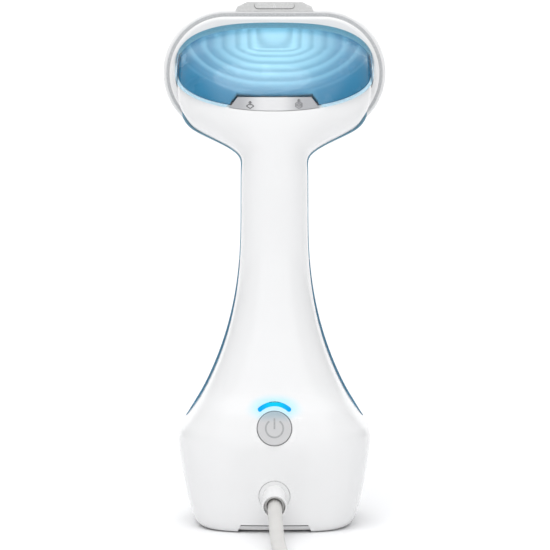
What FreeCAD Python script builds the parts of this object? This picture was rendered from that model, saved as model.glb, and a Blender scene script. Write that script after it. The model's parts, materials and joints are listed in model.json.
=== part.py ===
import FreeCAD, Part
import math
import os

import Sketcher
from FreeCAD import Placement, Rotation, Vector

# A handheld garment steamer that stands on its base.
# +Z is up, +Y is the way the steam leaves, -Y is the user's side with the power button and the cord.
# The origin is on the table, below the middle of the steamer.

DIMENSIONS = {
    # body
    "wall": 2.2,
    "grip_half_width": 19.4,
    "grip_half_depth": 20.0,
    "shoulder_half_width": 52.4,
    "shoulder_height": 57.0,
    "grip_height": 170.0,
    "neck_height": 205.0,
    "base_half_depth": 45.4,
    "split_depth": 2.0,
    "tank_floor": 60.0,
    "tank_top": 150.0,
    "part_gap": 0.4,
    # head
    "ring_depth": 31.0,
    "ring_height": 253.6,
    "collar_half_width": 60.2,
    "collar_half_height": 32.6,
    "collar_thick": 4.5,
    "gasket_half_width": 62.0,
    "gasket_half_height": 34.3,
    "gasket_thick": 2.5,
    "bezel_half_width": 63.8,
    "bezel_half_height": 36.0,
    "bezel_thick": 6.6,
    "plate_half_width": 58.7,
    "plate_half_height": 30.9,
    "plate_thick": 3.0,
    "plate_proud": 1.7,
    "vent_radius": 1.6,
    "chamber_half_width": 48.0,
    "chamber_half_height": 22.0,
    "chamber_thick": 11.0,
    "window_thick": 1.8,
    "seam_height": 236.0,
    "seam_slope": 0.49,
    # controls
    "button_height": 60.0,
    "button_radius": 9.6,
    "rocker_half_width": 27.3,
    "rocker_rise": 7.7,
    "tab_half_width": 23.0,
    "tab_top_half_width": 15.8,
    "clean_half_length": 11.3,
    "clean_half_height": 1.9,
    "trigger_width": 13.0,
    "trigger_pin_radius": 1.5,
    # cord
    "cord_diameter": 8.0,
    "guard_height": 21.5,
    "guard_radius": 8.6,
    "guard_mouth_radius": 7.1,
    "guard_bore_radius": 6.0,
    "guard_pitch": 8.0,
}

doc = FreeCAD.newDocument("steamer")
sheet = doc.addObject("Spreadsheet::Sheet", "Dimensions")
for row, (alias, number) in enumerate(DIMENSIONS.items(), start=1):
    sheet.set(f"A{row}", alias)
    sheet.set(f"B{row}", str(number))
    sheet.setAlias(f"B{row}", alias)
doc.recompute()

nodes = {}


def size(alias):
    return float(sheet.get(alias))


def keep(label, obj):
    """Make an object of the document the sub-part of this name."""
    obj.Label = label
    nodes[label] = obj
    return obj


def feature(label, shape):
    return keep(label, plain(label + "_form", shape))


def plain(name, shape):
    obj = doc.addObject("Part::Feature", name)
    obj.Shape = shape
    return obj


# Placements of a primitive whose own axis is +Z.
def upward(x, y, z):
    return Placement(Vector(x, y, z), Rotation())


def forward(x, y, z):
    return Placement(Vector(x, y, z), Rotation(Vector(1, 0, 0), -90))


def rearward(x, y, z):
    return Placement(Vector(x, y, z), Rotation(Vector(1, 0, 0), 90))


def sideways(x, y, z):
    return Placement(Vector(x, y, z), Rotation(Vector(0, 1, 0), 90))


def pitched(x, y, z, up):
    """A placement whose +Z axis points to the rear and up by this many degrees."""
    return Placement(Vector(x, y, z), Rotation(Vector(1, 0, 0), 90 - up))


def along(place, distance):
    """The same placement, moved along its own axis."""
    shift = place.Rotation.multVec(Vector(0, 0, distance))
    return Placement(place.Base + shift, place.Rotation)


def bound(kind, name, placement, **sizes):
    """A Part primitive whose sizes are expressions in the sheet's aliases, or numbers."""
    obj = doc.addObject(kind, name)
    for prop, expression in sizes.items():
        obj.setExpression(prop, str(expression))
    obj.Placement = placement
    return obj


def rod(name, placement, radius, height):
    return bound("Part::Cylinder", name, placement, Radius=radius, Height=height)


def block(name, placement, length, width, height):
    return bound("Part::Box", name, placement, Length=length, Width=width, Height=height)


def cut(name, base, *tools):
    """base with every tool taken away."""
    tool = tools[0]
    if len(tools) > 1:
        tool = doc.addObject("Part::MultiFuse", name + "_tools")
        tool.Shapes = list(tools)
    obj = doc.addObject("Part::Cut", name)
    obj.Base = base
    obj.Tool = tool
    return obj


def fuse(name, *shapes):
    obj = doc.addObject("Part::MultiFuse", name)
    obj.Shapes = list(shapes)
    return obj


def group(name, *shapes):
    obj = doc.addObject("Part::Compound", name)
    obj.Links = list(shapes)
    return obj


def rounded(name, base, radius, choose):
    """base with the edges that choose() accepts rounded."""
    doc.recompute()
    edges = [i for i, edge in enumerate(base.Shape.Edges, start=1) if choose(edge)]
    obj = doc.addObject("Part::Fillet", name)
    obj.Base = base
    obj.Edges = [(i, radius, radius) for i in edges]
    return obj


# PartDesign bodies -------------------------------------------------------------------------------


def new_body(label):
    return keep(label, doc.addObject("PartDesign::Body", label + "_body"))


def sketch_on(body, role, name, offset="0"):
    plane = next(f for f in body.Origin.OriginFeatures if f.Role == role)
    sketch = body.newObject("Sketcher::SketchObject", name)
    sketch.AttachmentSupport = [(plane, "")]
    sketch.MapMode = "FlatFace"
    sketch.setExpression("AttachmentOffset.Base.z", offset)
    return sketch


def dimension(sketch, constraint, expression):
    index = sketch.addConstraint(constraint)
    sketch.setExpression(f"Constraints[{index}]", str(expression))


def draw_circle(sketch, x, y, radius):
    """A circle at a fixed place, its radius bound to an expression."""
    circle = sketch.addGeometry(Part.Circle(Vector(x, y, 0), Vector(0, 0, 1), 1.0))
    dimension(sketch, Sketcher.Constraint("Radius", circle, 1.0), radius)


def draw_slot(sketch, half_width, half_height, height):
    """A level stadium: two lines joined by two half circles, centred on x = 0."""
    r, reach, y = 5.0, 12.0, 9.0
    right = sketch.addGeometry(Part.ArcOfCircle(Part.Circle(Vector(reach, y, 0), Vector(0, 0, 1), r),
                                                -math.pi / 2, math.pi / 2))
    left = sketch.addGeometry(Part.ArcOfCircle(Part.Circle(Vector(-reach, y, 0), Vector(0, 0, 1), r),
                                               math.pi / 2, 3 * math.pi / 2))
    top = sketch.addGeometry(Part.LineSegment(Vector(reach, y + r, 0), Vector(-reach, y + r, 0)))
    low = sketch.addGeometry(Part.LineSegment(Vector(-reach, y - r, 0), Vector(reach, y - r, 0)))
    for a, end_a, b, end_b in ((right, 2, top, 1), (top, 2, left, 1), (left, 2, low, 1),
                               (low, 2, right, 1)):
        sketch.addConstraint(Sketcher.Constraint("Tangent", a, end_a, b, end_b))
    sketch.addConstraint(Sketcher.Constraint("Horizontal", top))
    sketch.addConstraint(Sketcher.Constraint("Equal", right, left))
    dimension(sketch, Sketcher.Constraint("Radius", right, r), half_height)
    dimension(sketch, Sketcher.Constraint("DistanceX", -1, 1, right, 3, reach),
              f"{half_width} - {half_height}")
    dimension(sketch, Sketcher.Constraint("DistanceX", left, 3, -1, 1, reach),
              f"{half_width} - {half_height}")
    dimension(sketch, Sketcher.Constraint("DistanceY", -1, 1, right, 3, y), height)


def draw_outline(sketch, points):
    """A closed outline of straight lines through the points."""
    corners = [Vector(x, y, 0) for x, y in points]
    lines = [sketch.addGeometry(Part.LineSegment(a, b)) for a, b in zip(corners, corners[1:] + corners[:1])]
    for a, b in zip(lines, lines[1:] + lines[:1]):
        sketch.addConstraint(Sketcher.Constraint("Coincident", a, 2, b, 1))


def pad(body, name, sketch, length, midplane=False):
    obj = body.newObject("PartDesign::Pad", name)
    obj.Profile = sketch
    obj.setExpression("Length", str(length))
    obj.Midplane = midplane
    return obj


def pocket(body, name, sketch, length, midplane=False):
    obj = body.newObject("PartDesign::Pocket", name)
    obj.Profile = sketch
    obj.setExpression("Length", str(length))
    obj.Midplane = midplane
    return obj


def revolve(body, name, sketch, axis="V_Axis"):
    obj = body.newObject("PartDesign::Revolution", name)
    obj.Profile = sketch
    obj.ReferenceAxis = (sketch, [axis])
    return obj


def soften(body, name, base, radius, choose):
    """Round the edges of a body's last feature that choose() accepts."""
    doc.recompute()
    edges = [f"Edge{i}" for i, edge in enumerate(base.Shape.Edges, start=1) if choose(edge)]
    obj = body.newObject("PartDesign::Fillet", name)
    obj.Base = (base, edges)
    obj.Radius = radius
    return obj


def stadium(label, y_front, thick, outer, inner=None):
    """A stadium plate or ring that lies across the head; outer and inner are (half width, half height)."""
    body = new_body(label)
    sketch = sketch_on(body, "XZ_Plane", label + "_outline", f"-({y_front})")
    draw_slot(sketch, outer[0], outer[1], "Dimensions.ring_height")
    if inner:
        draw_slot(sketch, inner[0], inner[1], "Dimensions.ring_height")
    plate = pad(body, label + "_pad", sketch, thick)
    return body, plate


# The body's skin: a smooth surface held by cross-sections ------------------------------------------

POINTS_AROUND = 32


def section(rear, front, half_width, squareness, inset=0.0):
    """Points of a superellipse whose depth runs from rear to front, both (y, z)."""
    middle = [(a + b) / 2 for a, b in zip(rear, front)]
    reach = [(b - a) / 2 for a, b in zip(rear, front)]
    shrink = 1 - inset / math.hypot(*reach)
    points = []
    for i in range(POINTS_AROUND):
        angle = 2 * math.pi * i / POINTS_AROUND
        across, along = math.cos(angle), math.sin(angle)
        x = (half_width - inset) * math.copysign(abs(across) ** (2 / squareness), across)
        k = shrink * math.copysign(abs(along) ** (2 / squareness), along)
        points.append(Vector(x, middle[0] + reach[0] * k, middle[1] + reach[1] * k))
    return points


def skin(sections):
    """The closed solid of a cubic B-spline surface through the sections' nets, with flat ends."""
    count = len(sections)
    along = [float(i) for i in range(count - 2)]
    around = [float(i) for i in range(POINTS_AROUND + 1)]
    surface = Part.BSplineSurface()
    surface.buildFromPolesMultsKnots(sections, [4] + [1] * (count - 4) + [4], [1] * len(around),
                                     along, around, False, True, 3, 3)
    side = surface.toShape()
    ends = [Part.Face(Part.Wire([e])) for e in side.Edges if e.isClosed() and not e.isSeam(side.Faces[0])]
    shell = Part.makeShell([side] + ends)
    shell.sewShape(0.01)
    solid = Part.makeSolid(Part.makeShell(shell.Faces))
    if solid.Volume < 0:
        solid.reverse()
    return solid


# Base: (height, half width, rear depth share, front depth share) of the base's full sizes.
BASE_ROWS = [
    (0.0, 41.5, 0.880, 0.900), (0.9, 43.6, 0.905, 0.930), (3.0, 45.8, 0.938, 0.955),
    (8.0, 47.7, 0.961, 0.975), (17.0, 50.2, 0.979, 0.990), (28.0, 52.2, 0.992, 1.0),
    (40.0, 54.2, 1.0, 1.0), (49.5, 55.6, 1.0, 0.995), (56.0, 54.4, 0.985, 0.97),
    (61.0, 50.2, 0.960, 0.945), (68.0, 46.2, 0.925, 0.890),
]
GRIP_HEIGHTS = (76, 86, 98, 112, 128, 145, 162, 178, 192)
# Head: rear point (y, z), front point (y, z), half width, squareness. The sections turn from level
# at the neck to upright at the head's mouth.
HEAD_ROWS = [
    ((-19.6, 205.0), (20.3, 201.5), 19.3, 2.4), ((-19.6, 213.6), (22.0, 206.1), 18.9, 2.3),
    ((-19.2, 225.1), (25.0, 211.1), 33.2, 2.2), ((-17.8, 236.1), (27.6, 215.1), 49.2, 2.2),
    ((-13.5, 247.1), (29.6, 218.6), 53.6, 2.3), ((-5.0, 258.6), (30.8, 221.6), 57.4, 2.4),
    ((6.5, 268.6), (31.0, 223.1), 57.9, 2.5), ((19.0, 276.6), (31.0, 223.8), 57.8, 2.7),
    ((31.0, 283.1), (31.0, 224.1), 57.7, 2.8),
]


def body_sections(inset=0.0, narrower=(0.0, 0.0, 0.0), overrun=0.0):
    """Sections of the whole body, drawn in by inset; narrower is how much the half width
    shrinks on the flare, on the grip and on the head; overrun lengthens both ends."""
    grip, depth = size("grip_half_width"), size("grip_half_depth")
    base_depth, low, high = size("base_half_depth"), size("shoulder_height"), size("grip_height")
    flare_step, grip_step, head_step = narrower
    rows = []
    for height, half, rear, front in BASE_ROWS:
        step = flare_step * max(0.0, min(1.0, (height - 58.0) / 10.0))
        rows.append(((-base_depth * rear, height), (base_depth * front, height), half - step, 3.3))
    for height in GRIP_HEIGHTS:
        left = 1 - min(1.0, (height - low) / (high - low))
        half = grip + (size("shoulder_half_width") - grip) * left ** 2.25
        swell = left ** 1.9
        step = grip_step + (flare_step - grip_step) * min(1.0, 3 * swell)
        rows.append(((-depth - 21 * swell, height), (depth + 20 * swell, height), half - step,
                     2.4 + 0.8 * swell))
    for i, (rear, front, half, squareness) in enumerate(HEAD_ROWS):
        step = grip_step + (head_step - grip_step) * min(1.0, i / 3)
        rows.append((rear, front, half - step, squareness))
    first, last = rows[0], rows[-1]
    rows[0] = ((first[0][0], -overrun), (first[1][0], -overrun), first[2], first[3])
    rows[-1] = ((last[0][0] + overrun, last[0][1]), (last[1][0] + overrun, last[1][1]), last[2], last[3])
    return [section(*row, inset) for row in rows]


def side_prism(points, half_width=90.0):
    """A prism across the body with this outline of (y, z) points."""
    wire = Part.makePolygon([Vector(-half_width, y, z) for y, z in points + points[:1]])
    return Part.Face(wire).extrude(Vector(2 * half_width, 0, 0))


wall = size("wall")
gap = size("part_gap")
split = size("split_depth")
tank_floor, tank_top = size("tank_floor"), size("tank_top")
ring_y, ring_z = size("ring_depth"), size("ring_height")
seam_z, seam_slope = size("seam_height"), size("seam_slope")

white_skin = skin(body_sections(narrower=(1.3, 0.5, 2.2)))
blue_skin = skin(body_sections())
hollow = skin(body_sections(inset=wall, narrower=(1.3, 0.5, 2.2), overrun=3.0))
blue_hollow = skin(body_sections(inset=wall, overrun=3.0))
window_hollow = skin(body_sections(inset=size("window_thick"), overrun=3.0))


def seam_at(y, raise_by=0.0):
    """Height of the seam between the white shell and the window."""
    return seam_z + seam_slope * (y + 17) + raise_by


# Regions, as prisms across the body.
FAR = 120.0
above_seam = side_prism([(-FAR, seam_at(-FAR)), (FAR, seam_at(FAR)), (FAR, 400), (-FAR, 400)])
# The split line climbs from the neck to the head's mouth as a curve of (y, z).
SPLIT_CURVE = [(split, size("neck_height")), (3.5, 213.5), (8.0, 222.0), (15.0, 229.0), (24.0, 233.5),
               (ring_y + 4, 236.5)]
front_side = side_prism([(split, tank_floor), *SPLIT_CURVE, (FAR, SPLIT_CURVE[-1][1]), (FAR, tank_floor)])


def u_outline(half_width, bottom, top, corner):
    """A U in the XZ plane at y = 0: straight sides, round corners, flat top."""
    w, r = half_width, corner
    lean = r * (1 - math.sqrt(0.5))
    edges = [
        Part.LineSegment(Vector(-w, 0, top), Vector(-w, 0, bottom + r)),
        Part.Arc(Vector(-w, 0, bottom + r), Vector(-w + lean, 0, bottom + lean), Vector(-w + r, 0, bottom)),
        Part.LineSegment(Vector(-w + r, 0, bottom), Vector(w - r, 0, bottom)),
        Part.Arc(Vector(w - r, 0, bottom), Vector(w - lean, 0, bottom + lean), Vector(w, 0, bottom + r)),
        Part.LineSegment(Vector(w, 0, bottom + r), Vector(w, 0, top)),
        Part.LineSegment(Vector(w, 0, top), Vector(-w, 0, top)),
    ]
    return Part.Wire([e.toShape() for e in edges])


# Openings in the shells.
button_z = size("button_height")
guard_z = size("guard_height")
rocker_half, rocker_rise = size("rocker_half_width"), size("rocker_rise")


def rocker_region(margin):
    """The patch of the head's rear that the rocker fills, with its S-shaped ends kept as slants.
    It reaches below the seam, which gives the patch its lower edge."""
    low, high = -2.5 - margin, rocker_rise + margin
    bottom, top = rocker_half + margin, rocker_half - 6.6 + margin
    corners = [(-bottom, low), (bottom, low), (bottom, 1.6), (bottom - 2.6, 2.6), (top + 1.0, high - 1.2),
               (top, high), (-top, high), (-top - 1.0, high - 1.2), (-bottom + 2.6, 2.6), (-bottom, 1.6)]
    base = seam_at(-17)
    wire = Part.makePolygon([Vector(x, -60, base + z) for x, z in corners + corners[:1]])
    return Part.Face(wire).extrude(Vector(0, 62, 0))


TRIGGER_LOW, TRIGGER_HIGH = 166.0, 201.0
trigger_half = size("trigger_width") / 2
trigger_hole = Part.makeBox(2 * trigger_half + 1.0, 30, TRIGGER_HIGH - TRIGGER_LOW,
                            Vector(-trigger_half - 0.5, 9, TRIGGER_LOW))
BUTTON_TILT = 12.5
BUTTON_Y = -43.65   # the skin's depth at the button's middle
button_place = pitched(0, BUTTON_Y, button_z, BUTTON_TILT)
button_hole = Part.makeCylinder(size("button_radius") + 0.4, 24)
button_hole.Placement = along(button_place, -12)
guard_hole = Part.makeCylinder(size("guard_radius") + 0.15, 30, Vector(0, -60, guard_z), Vector(0, 1, 0))


def arc_band(radius, width, half_angle, y_from, y_to):
    """A band of a circle round the power button's axis, centred above it, with round ends."""
    outer, inner = radius + width / 2, radius - width / 2

    def at(r, angle):
        return Vector(r * math.sin(angle), y_from, button_z + r * math.cos(angle))

    a = half_angle
    round_off = Vector(math.cos(a) * width / 2, 0, -math.sin(a) * width / 2)
    mirrored = Vector(-round_off.x, 0, round_off.z)
    edges = [Part.Arc(at(outer, -a), at(outer, 0), at(outer, a)),
             Part.Arc(at(outer, a), at(radius, a) + round_off, at(inner, a)),
             Part.Arc(at(inner, a), at(inner, 0), at(inner, -a)),
             Part.Arc(at(inner, -a), at(radius, -a) + mirrored, at(outer, -a))]
    return Part.Face(Part.Wire([e.toShape() for e in edges])).extrude(Vector(0, y_to - y_from, 0))


LIGHT_RADIUS, LIGHT_WIDTH, LIGHT_ANGLE = 13.0, 2.4, math.radians(39)
light_hole = arc_band(LIGHT_RADIUS, LIGHT_WIDTH + 0.08, LIGHT_ANGLE, -60, -30)
notch_half, notch_rise = 19.0, 4.6
notch = Part.Face(Part.makePolygon([
    Vector(x, -60, z) for x, z in ((-notch_half - 2.5, -1), (notch_half + 2.5, -1),
                                   (notch_half, notch_rise),
                                   (-notch_half, notch_rise),
                                   (-notch_half - 2.5, -1))])).extrude(Vector(0, 30, 0))

# Shells ------------------------------------------------------------------------------------------

SHELL_FOOT = 0.6   # the shell's lower edge; the rubber feet stand proud of it
lift = Part.makeBox(240, 240, SHELL_FOOT + 10, Vector(-FAR, -FAR, -10))
rear_shell = white_skin.cut(hollow).cut(above_seam)
rear_shell = rear_shell.cut([front_side, button_hole, guard_hole, light_hole, notch, lift])
feature("rear_shell", rear_shell)

lower_curve = [(y + 0.7 * gap, z - gap) for y, z in SPLIT_CURVE]
front_shell = blue_skin.cut(blue_hollow).common(side_prism([
    (split + 0.7 * gap, tank_top + gap), *lower_curve, (FAR, lower_curve[-1][1]), (FAR, tank_top + gap)]))
feature("front_shell", front_shell.cut(trigger_hole))

# The inside step of the shells would show as a slit at the split, so a tongue closes it.
tongue_skin = skin(body_sections(inset=wall + 0.15, narrower=(1.3, 0.5, 2.2), overrun=3.0))
tongue_hollow = skin(body_sections(inset=wall + 1.5, narrower=(1.3, 0.5, 2.2), overrun=3.0))
tongue = tongue_skin.cut(tongue_hollow).common(side_prism([
    (split - 5, tank_top + 4), (split - 5, 198), (split + 5, 198), (split + 5, tank_top + 4)]))
feature("split_seal", tongue)

window = blue_skin.cut(window_hollow).common(side_prism([
    (-FAR, seam_at(-FAR, 0.25)), (ring_y, seam_at(ring_y, 0.25)), (ring_y, 400), (-FAR, 400)]))
feature("window_cover", window.cut(rocker_region(0.45)))

# Water tank: a closed vessel behind the blue front, with a filler neck and an outlet to the rear.
tank_block = side_prism([(split + gap, tank_floor + gap), (split + gap, tank_top), (FAR, tank_top),
                         (FAR, tank_floor + gap)])
tank_inside = side_prism([(split + gap + 2.0, tank_floor + gap + 2.0), (split + gap + 2.0, tank_top - 2.0),
                          (FAR, tank_top - 2.0), (FAR, tank_floor + gap + 2.0)])
filler_y, filler_z, filler_radius = 30.0, 128.0, 8.3
outlet_z, outlet_radius = 76.0, 3.2
tank = blue_skin.common(tank_block).cut(blue_hollow.common(tank_inside))
neck_ring = Part.makeCylinder(filler_radius + 3.4, 14, Vector(0, filler_y - 14, filler_z), Vector(0, 1, 0))
tank = tank.fuse(neck_ring)
tank = tank.cut(Part.makeCylinder(filler_radius, 30, Vector(0, filler_y - 16, filler_z), Vector(0, 1, 0)))
spout = Part.makeCylinder(outlet_radius, 9.0, Vector(0, split + gap - 7.0, outlet_z), Vector(0, 1, 0))
tank = tank.fuse(spout).cut(Part.makeCylinder(1.6, 20, Vector(0, split + gap - 8.0, outlet_z),
                                              Vector(0, 1, 0)))
feature("water_tank", tank.removeSplitter())

# Filler cap: a door that hinges below the filler, with a short plug and a seal.
cap_hinge_z = filler_z - 13.6
cap_disc = rod("cap_disc", forward(0, filler_y + 0.3, filler_z), f"{filler_radius} + 3.4", 2.4)
cap_plug = rod("cap_plug", forward(0, filler_y - 2.4, filler_z), 5.4, 3.0)
cap_arm = block("cap_arm", upward(-4, filler_y + 0.3, cap_hinge_z - 1.0), 8, 2.4, 6)
cap_tab = block("cap_tab", upward(-4.5, filler_y + 0.3, filler_z + 10), 9, 2.4, 4.5)
cap_eye = rod("cap_eye", sideways(-4, filler_y + 1.5, cap_hinge_z - 0.8), 2.0, 8)
cap_bore = rod("cap_bore", sideways(-5, filler_y + 1.5, cap_hinge_z - 0.8), 1.05, 10)
keep("tank_cap",
     cut("tank_cap_form", fuse("cap_solid", cap_disc, cap_plug, cap_arm, cap_tab, cap_eye), cap_bore))
cap_seal = bound("Part::Torus", "cap_seal_ring", forward(0, filler_y - 1.3, filler_z), Radius1=6.6,
                 Radius2=1.15)
cap_seal_room = rod("cap_seal_room", forward(0, filler_y - 4, filler_z), 5.45, 8)
keep("tank_cap_seal", cut("tank_cap_seal_form", cap_seal, cap_seal_room))
hinge_y, hinge_z = filler_y + 1.5, cap_hinge_z - 0.8
ears = [block(f"cap_ear_{side}", upward(x, hinge_y - 12, hinge_z - 2.4), 3, 14, 4.8)
        for side, x in (("left", -7.4), ("right", 4.4))]
ear_room = plain("ear_room", blue_hollow.common(tank_inside))
cap_pin = rod("cap_pin", sideways(-7.4, hinge_y, hinge_z), 1.0, 14.8)
keep("cap_hinge_pin", cap_pin)
ear_pair = fuse("ear_pair", *ears)
pin_room = rod("pin_room", sideways(-9, hinge_y, hinge_z), 1.0, 18)
tank_solid = nodes["water_tank"]
tank_solid.Label = "tank_vessel"
ears_cut = cut("ears_cut", ear_pair, pin_room, ear_room)
keep("water_tank", fuse("water_tank_form", tank_solid, ears_cut))

# Head: collar, gasket and bezel ------------------------------------------------------------------


collar_front = "Dimensions.ring_depth + Dimensions.collar_thick"
gasket_front = collar_front + " + Dimensions.gasket_thick"
bezel_front = gasket_front + " + Dimensions.bezel_thick"
collar_y = ring_y + size("collar_thick")
gasket_y = collar_y + size("gasket_thick")
bezel_y = gasket_y + size("bezel_thick")

collar, collar_pad = stadium("head_collar", collar_front, "Dimensions.collar_thick - 0.05",
                             ("Dimensions.collar_half_width", "Dimensions.collar_half_height"),
                             ("Dimensions.chamber_half_width + 3", "Dimensions.chamber_half_height + 3"))
soften(collar, "collar_round", collar_pad, 1.9,
       lambda e: abs(e.BoundBox.YMin - ring_y - 0.05) < 0.01 and abs(e.BoundBox.YMax - ring_y - 0.05) < 0.01
       and max(abs(e.BoundBox.ZMax - ring_z),
               abs(e.BoundBox.ZMin - ring_z)) > size("collar_half_height") - 0.5)
stadium("head_gasket", gasket_front, "Dimensions.gasket_thick",
        ("Dimensions.gasket_half_width", "Dimensions.gasket_half_height"),
        ("Dimensions.chamber_half_width + 3", "Dimensions.chamber_half_height + 3"))
bezel, bezel_pad = stadium("front_bezel", bezel_front, "Dimensions.bezel_thick",
                           ("Dimensions.bezel_half_width", "Dimensions.bezel_half_height"),
                           ("Dimensions.plate_half_width + 0.4", "Dimensions.plate_half_height + 0.4"))
for name, depth, radius in (("bezel_front_round", bezel_y, 3.0), ("bezel_rear_round", gasket_y, 1.4)):
    bezel_pad = soften(bezel, name, bezel_pad, radius,
                       lambda e, at=depth: abs(e.BoundBox.YMin - at) < 0.01
                       and abs(e.BoundBox.YMax - at) < 0.01
                       and max(abs(e.BoundBox.ZMax - ring_z), abs(e.BoundBox.ZMin - ring_z))
                       > size("bezel_half_height") - 1.6)

# Steam plate with its vents, the seal behind it and the cast chamber.
plate_front = bezel_front + " + Dimensions.plate_proud"
plate, plate_pad = stadium("steam_plate", plate_front, "Dimensions.plate_thick",
                           ("Dimensions.plate_half_width", "Dimensions.plate_half_height"))
plate_y = bezel_y + size("plate_proud")
vents = sketch_on(plate, "XZ_Plane", "vent_holes", f"-({plate_front} - Dimensions.plate_thick - 1)")
VENT_ROWS = ((0, 5), (11.5, 4), (-11.5, 4), (21.5, 3), (-21.5, 3))
for rise, half_count in VENT_ROWS:
    shift = 4.75 if half_count % 2 == 0 else 0.0
    for i in range(-half_count, half_count + 1):
        x = i * 9.5 + shift
        if abs(x) <= half_count * 9.5:
            draw_circle(vents, x, ring_z + rise, "Dimensions.vent_radius")
pocket(plate, "vent_pocket", vents, "Dimensions.plate_thick + 4")
soften(plate, "plate_round", plate.Tip, 1.2,
       lambda e: abs(e.BoundBox.YMin - plate_y) < 0.01 and abs(e.BoundBox.YMax - plate_y) < 0.01
       and e.BoundBox.DiagonalLength > 20)

stadium("chamber_seal", f"{plate_front} - Dimensions.plate_thick", 3.5,
        ("Dimensions.chamber_half_width + 2", "Dimensions.chamber_half_height + 2"),
        ("Dimensions.chamber_half_width - 3", "Dimensions.chamber_half_height - 3"))
stadium("steam_chamber", f"{gasket_front} + 1.8", "Dimensions.chamber_thick",
        ("Dimensions.chamber_half_width", "Dimensions.chamber_half_height"))
chamber_rear = gasket_y + 1.8 - size("chamber_thick")

# Heating element: a U of sheathed rod clamped on the chamber's back, with its two cold ends.
element_y, element_radius, element_reach, element_bend = chamber_rear - 3.2, 3.1, 32.0, 10.0
path = Part.Wire([
    Part.LineSegment(Vector(-element_reach, element_y, ring_z + element_bend),
                     Vector(element_reach, element_y, ring_z + element_bend)).toShape(),
    Part.Arc(Vector(element_reach, element_y, ring_z + element_bend),
             Vector(element_reach + element_bend, element_y, ring_z),
             Vector(element_reach, element_y, ring_z - element_bend)).toShape(),
    Part.LineSegment(Vector(element_reach, element_y, ring_z - element_bend),
                     Vector(-element_reach, element_y, ring_z - element_bend)).toShape()])


def pipe(spine, radius):
    """A round solid of this radius along a wire."""
    start = spine.OrderedVertexes[0].Point
    direction = spine.OrderedEdges[0].tangentAt(spine.OrderedEdges[0].FirstParameter)
    profile = Part.Wire([Part.Circle(start, direction, radius).toShape()])
    return spine.makePipeShell([profile], True, False)


feature("heating_element", pipe(path, element_radius))
clamps = [block(f"element_clamp_{i}", upward(x - 3, element_y - 4.6, ring_z - 16), 6, 1.2, 32)
          for i, x in enumerate((-18, 18))]
keep("element_clamps", group("element_clamps_form", *clamps))

thermostat_y = chamber_rear - 0.1
thermostat_cup = rod("thermostat_cup", rearward(0, thermostat_y, ring_z), 5.6, 2.0)
thermostat_body = rod("thermostat_body", rearward(0, thermostat_y - 2.0, ring_z), 4.6, 3.4)
keep("thermostat", fuse("thermostat_form", thermostat_cup, thermostat_body))
keep("thermal_fuse", rod("thermal_fuse_form", sideways(-45, chamber_rear - 2.4, ring_z - 5), 2.0, 9))

# Stepped chamber cover behind the window: each step is a U, open at the top, and lies deeper
# than the last by the same distance below the skin.
COVER_INSET, COVER_STEP, STEPS = 3.0, 0.42, 8
cover_reach = ring_y - 1.0
cover = skin(body_sections(inset=COVER_INSET, overrun=3.0)).common(side_prism([
    (-FAR, seam_at(-FAR, 0.4)), (cover_reach, seam_at(cover_reach, 0.4)), (cover_reach, 400), (-FAR, 400)]))
for i in range(STEPS):
    share = i / (STEPS - 1)
    half_width = 53.0 - 41.5 * share ** 0.8
    bottom = 244.5 + 21.5 * share ** 0.9
    corner = 22.0 - 13.0 * share
    depth = 24.0 + 0.25 * i
    outline = Part.Face(u_outline(half_width, bottom, 300.0, corner))
    outline.translate(Vector(0, -40, 0))
    kept = skin(body_sections(inset=COVER_INSET + COVER_STEP * (i + 1), overrun=6.0))
    cover = cover.cut(outline.extrude(Vector(0, 40 + depth, 0)).cut(kept))
chamber_half, chamber_rise = size("chamber_half_width"), size("chamber_half_height")
chamber_room = Part.makeBox(2 * chamber_half + 4, 40, 2 * chamber_rise + 4,
                            Vector(-chamber_half - 2, chamber_rear - 1.5, ring_z - chamber_rise - 2))
element_room = Part.makeBox(2 * chamber_half, 40, 33, Vector(-chamber_half, element_y - 5.0, ring_z - 16.5))
hose_room = Part.makeCylinder(4.5, 40, Vector(28, 8, 236.1), Vector(0, 1, 0))
rocker_room = Part.makeBox(42, 60, 50, Vector(-21, -58, 192))
cover = cover.cut([chamber_room, element_room, hose_room, rocker_room])
feature("chamber_cover", max(cover.Solids, key=lambda s: s.Volume))


# Controls on the user's side -----------------------------------------------------------------------


button = new_body("power_button")
face = sketch_on(button, "XY_Plane", "button_face")
draw_circle(face, 0, 0, "Dimensions.button_radius")
pad(button, "button_cap", face, 5.2)
flange = sketch_on(button, "XY_Plane", "button_flange")
draw_circle(flange, 0, 0, "Dimensions.button_radius + 0.8")
pad(button, "button_flange_pad", flange, 0.8)
stem = sketch_on(button, "XY_Plane", "button_stem", "-0.7")
draw_circle(stem, 0, 0, 2.5)
pad(button, "button_stem_pad", stem, 2.0)
soften(button, "button_round", button.Tip, 0.7, lambda e: abs(e.BoundBox.ZMin - 5.2) < 0.01)
button.Placement = along(button_place, -4.8)

light = white_skin.common(arc_band(LIGHT_RADIUS, LIGHT_WIDTH, LIGHT_ANGLE, -60, -37.0))
feature("light_guide", light)

board_y = -34.0
board = block("main_board_form", upward(-22, board_y, 36), 44, 1.6, 33)
keep("main_board", board)
switch_case = block("switch_case", upward(-3, board_y - 2.3, button_z - 4.2), 6, 2.3, 6)
switch_tip = rod("switch_tip", rearward(0, board_y - 2.3, button_z - 1.2), 1.7, 0.5)
keep("power_switch", fuse("power_switch_form", switch_case, switch_tip))
lamps = [block(f"lamp_{i}", upward(x - 1.6, board_y - 1.1, z), 3.2, 1.1, 2.8)
         for i, (x, z) in enumerate(((-8, button_z + 8.5), (0, button_z + 11), (8, button_z + 8.5)))]
keep("indicator_lamps", group("indicator_lamps_form", *lamps))

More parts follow.
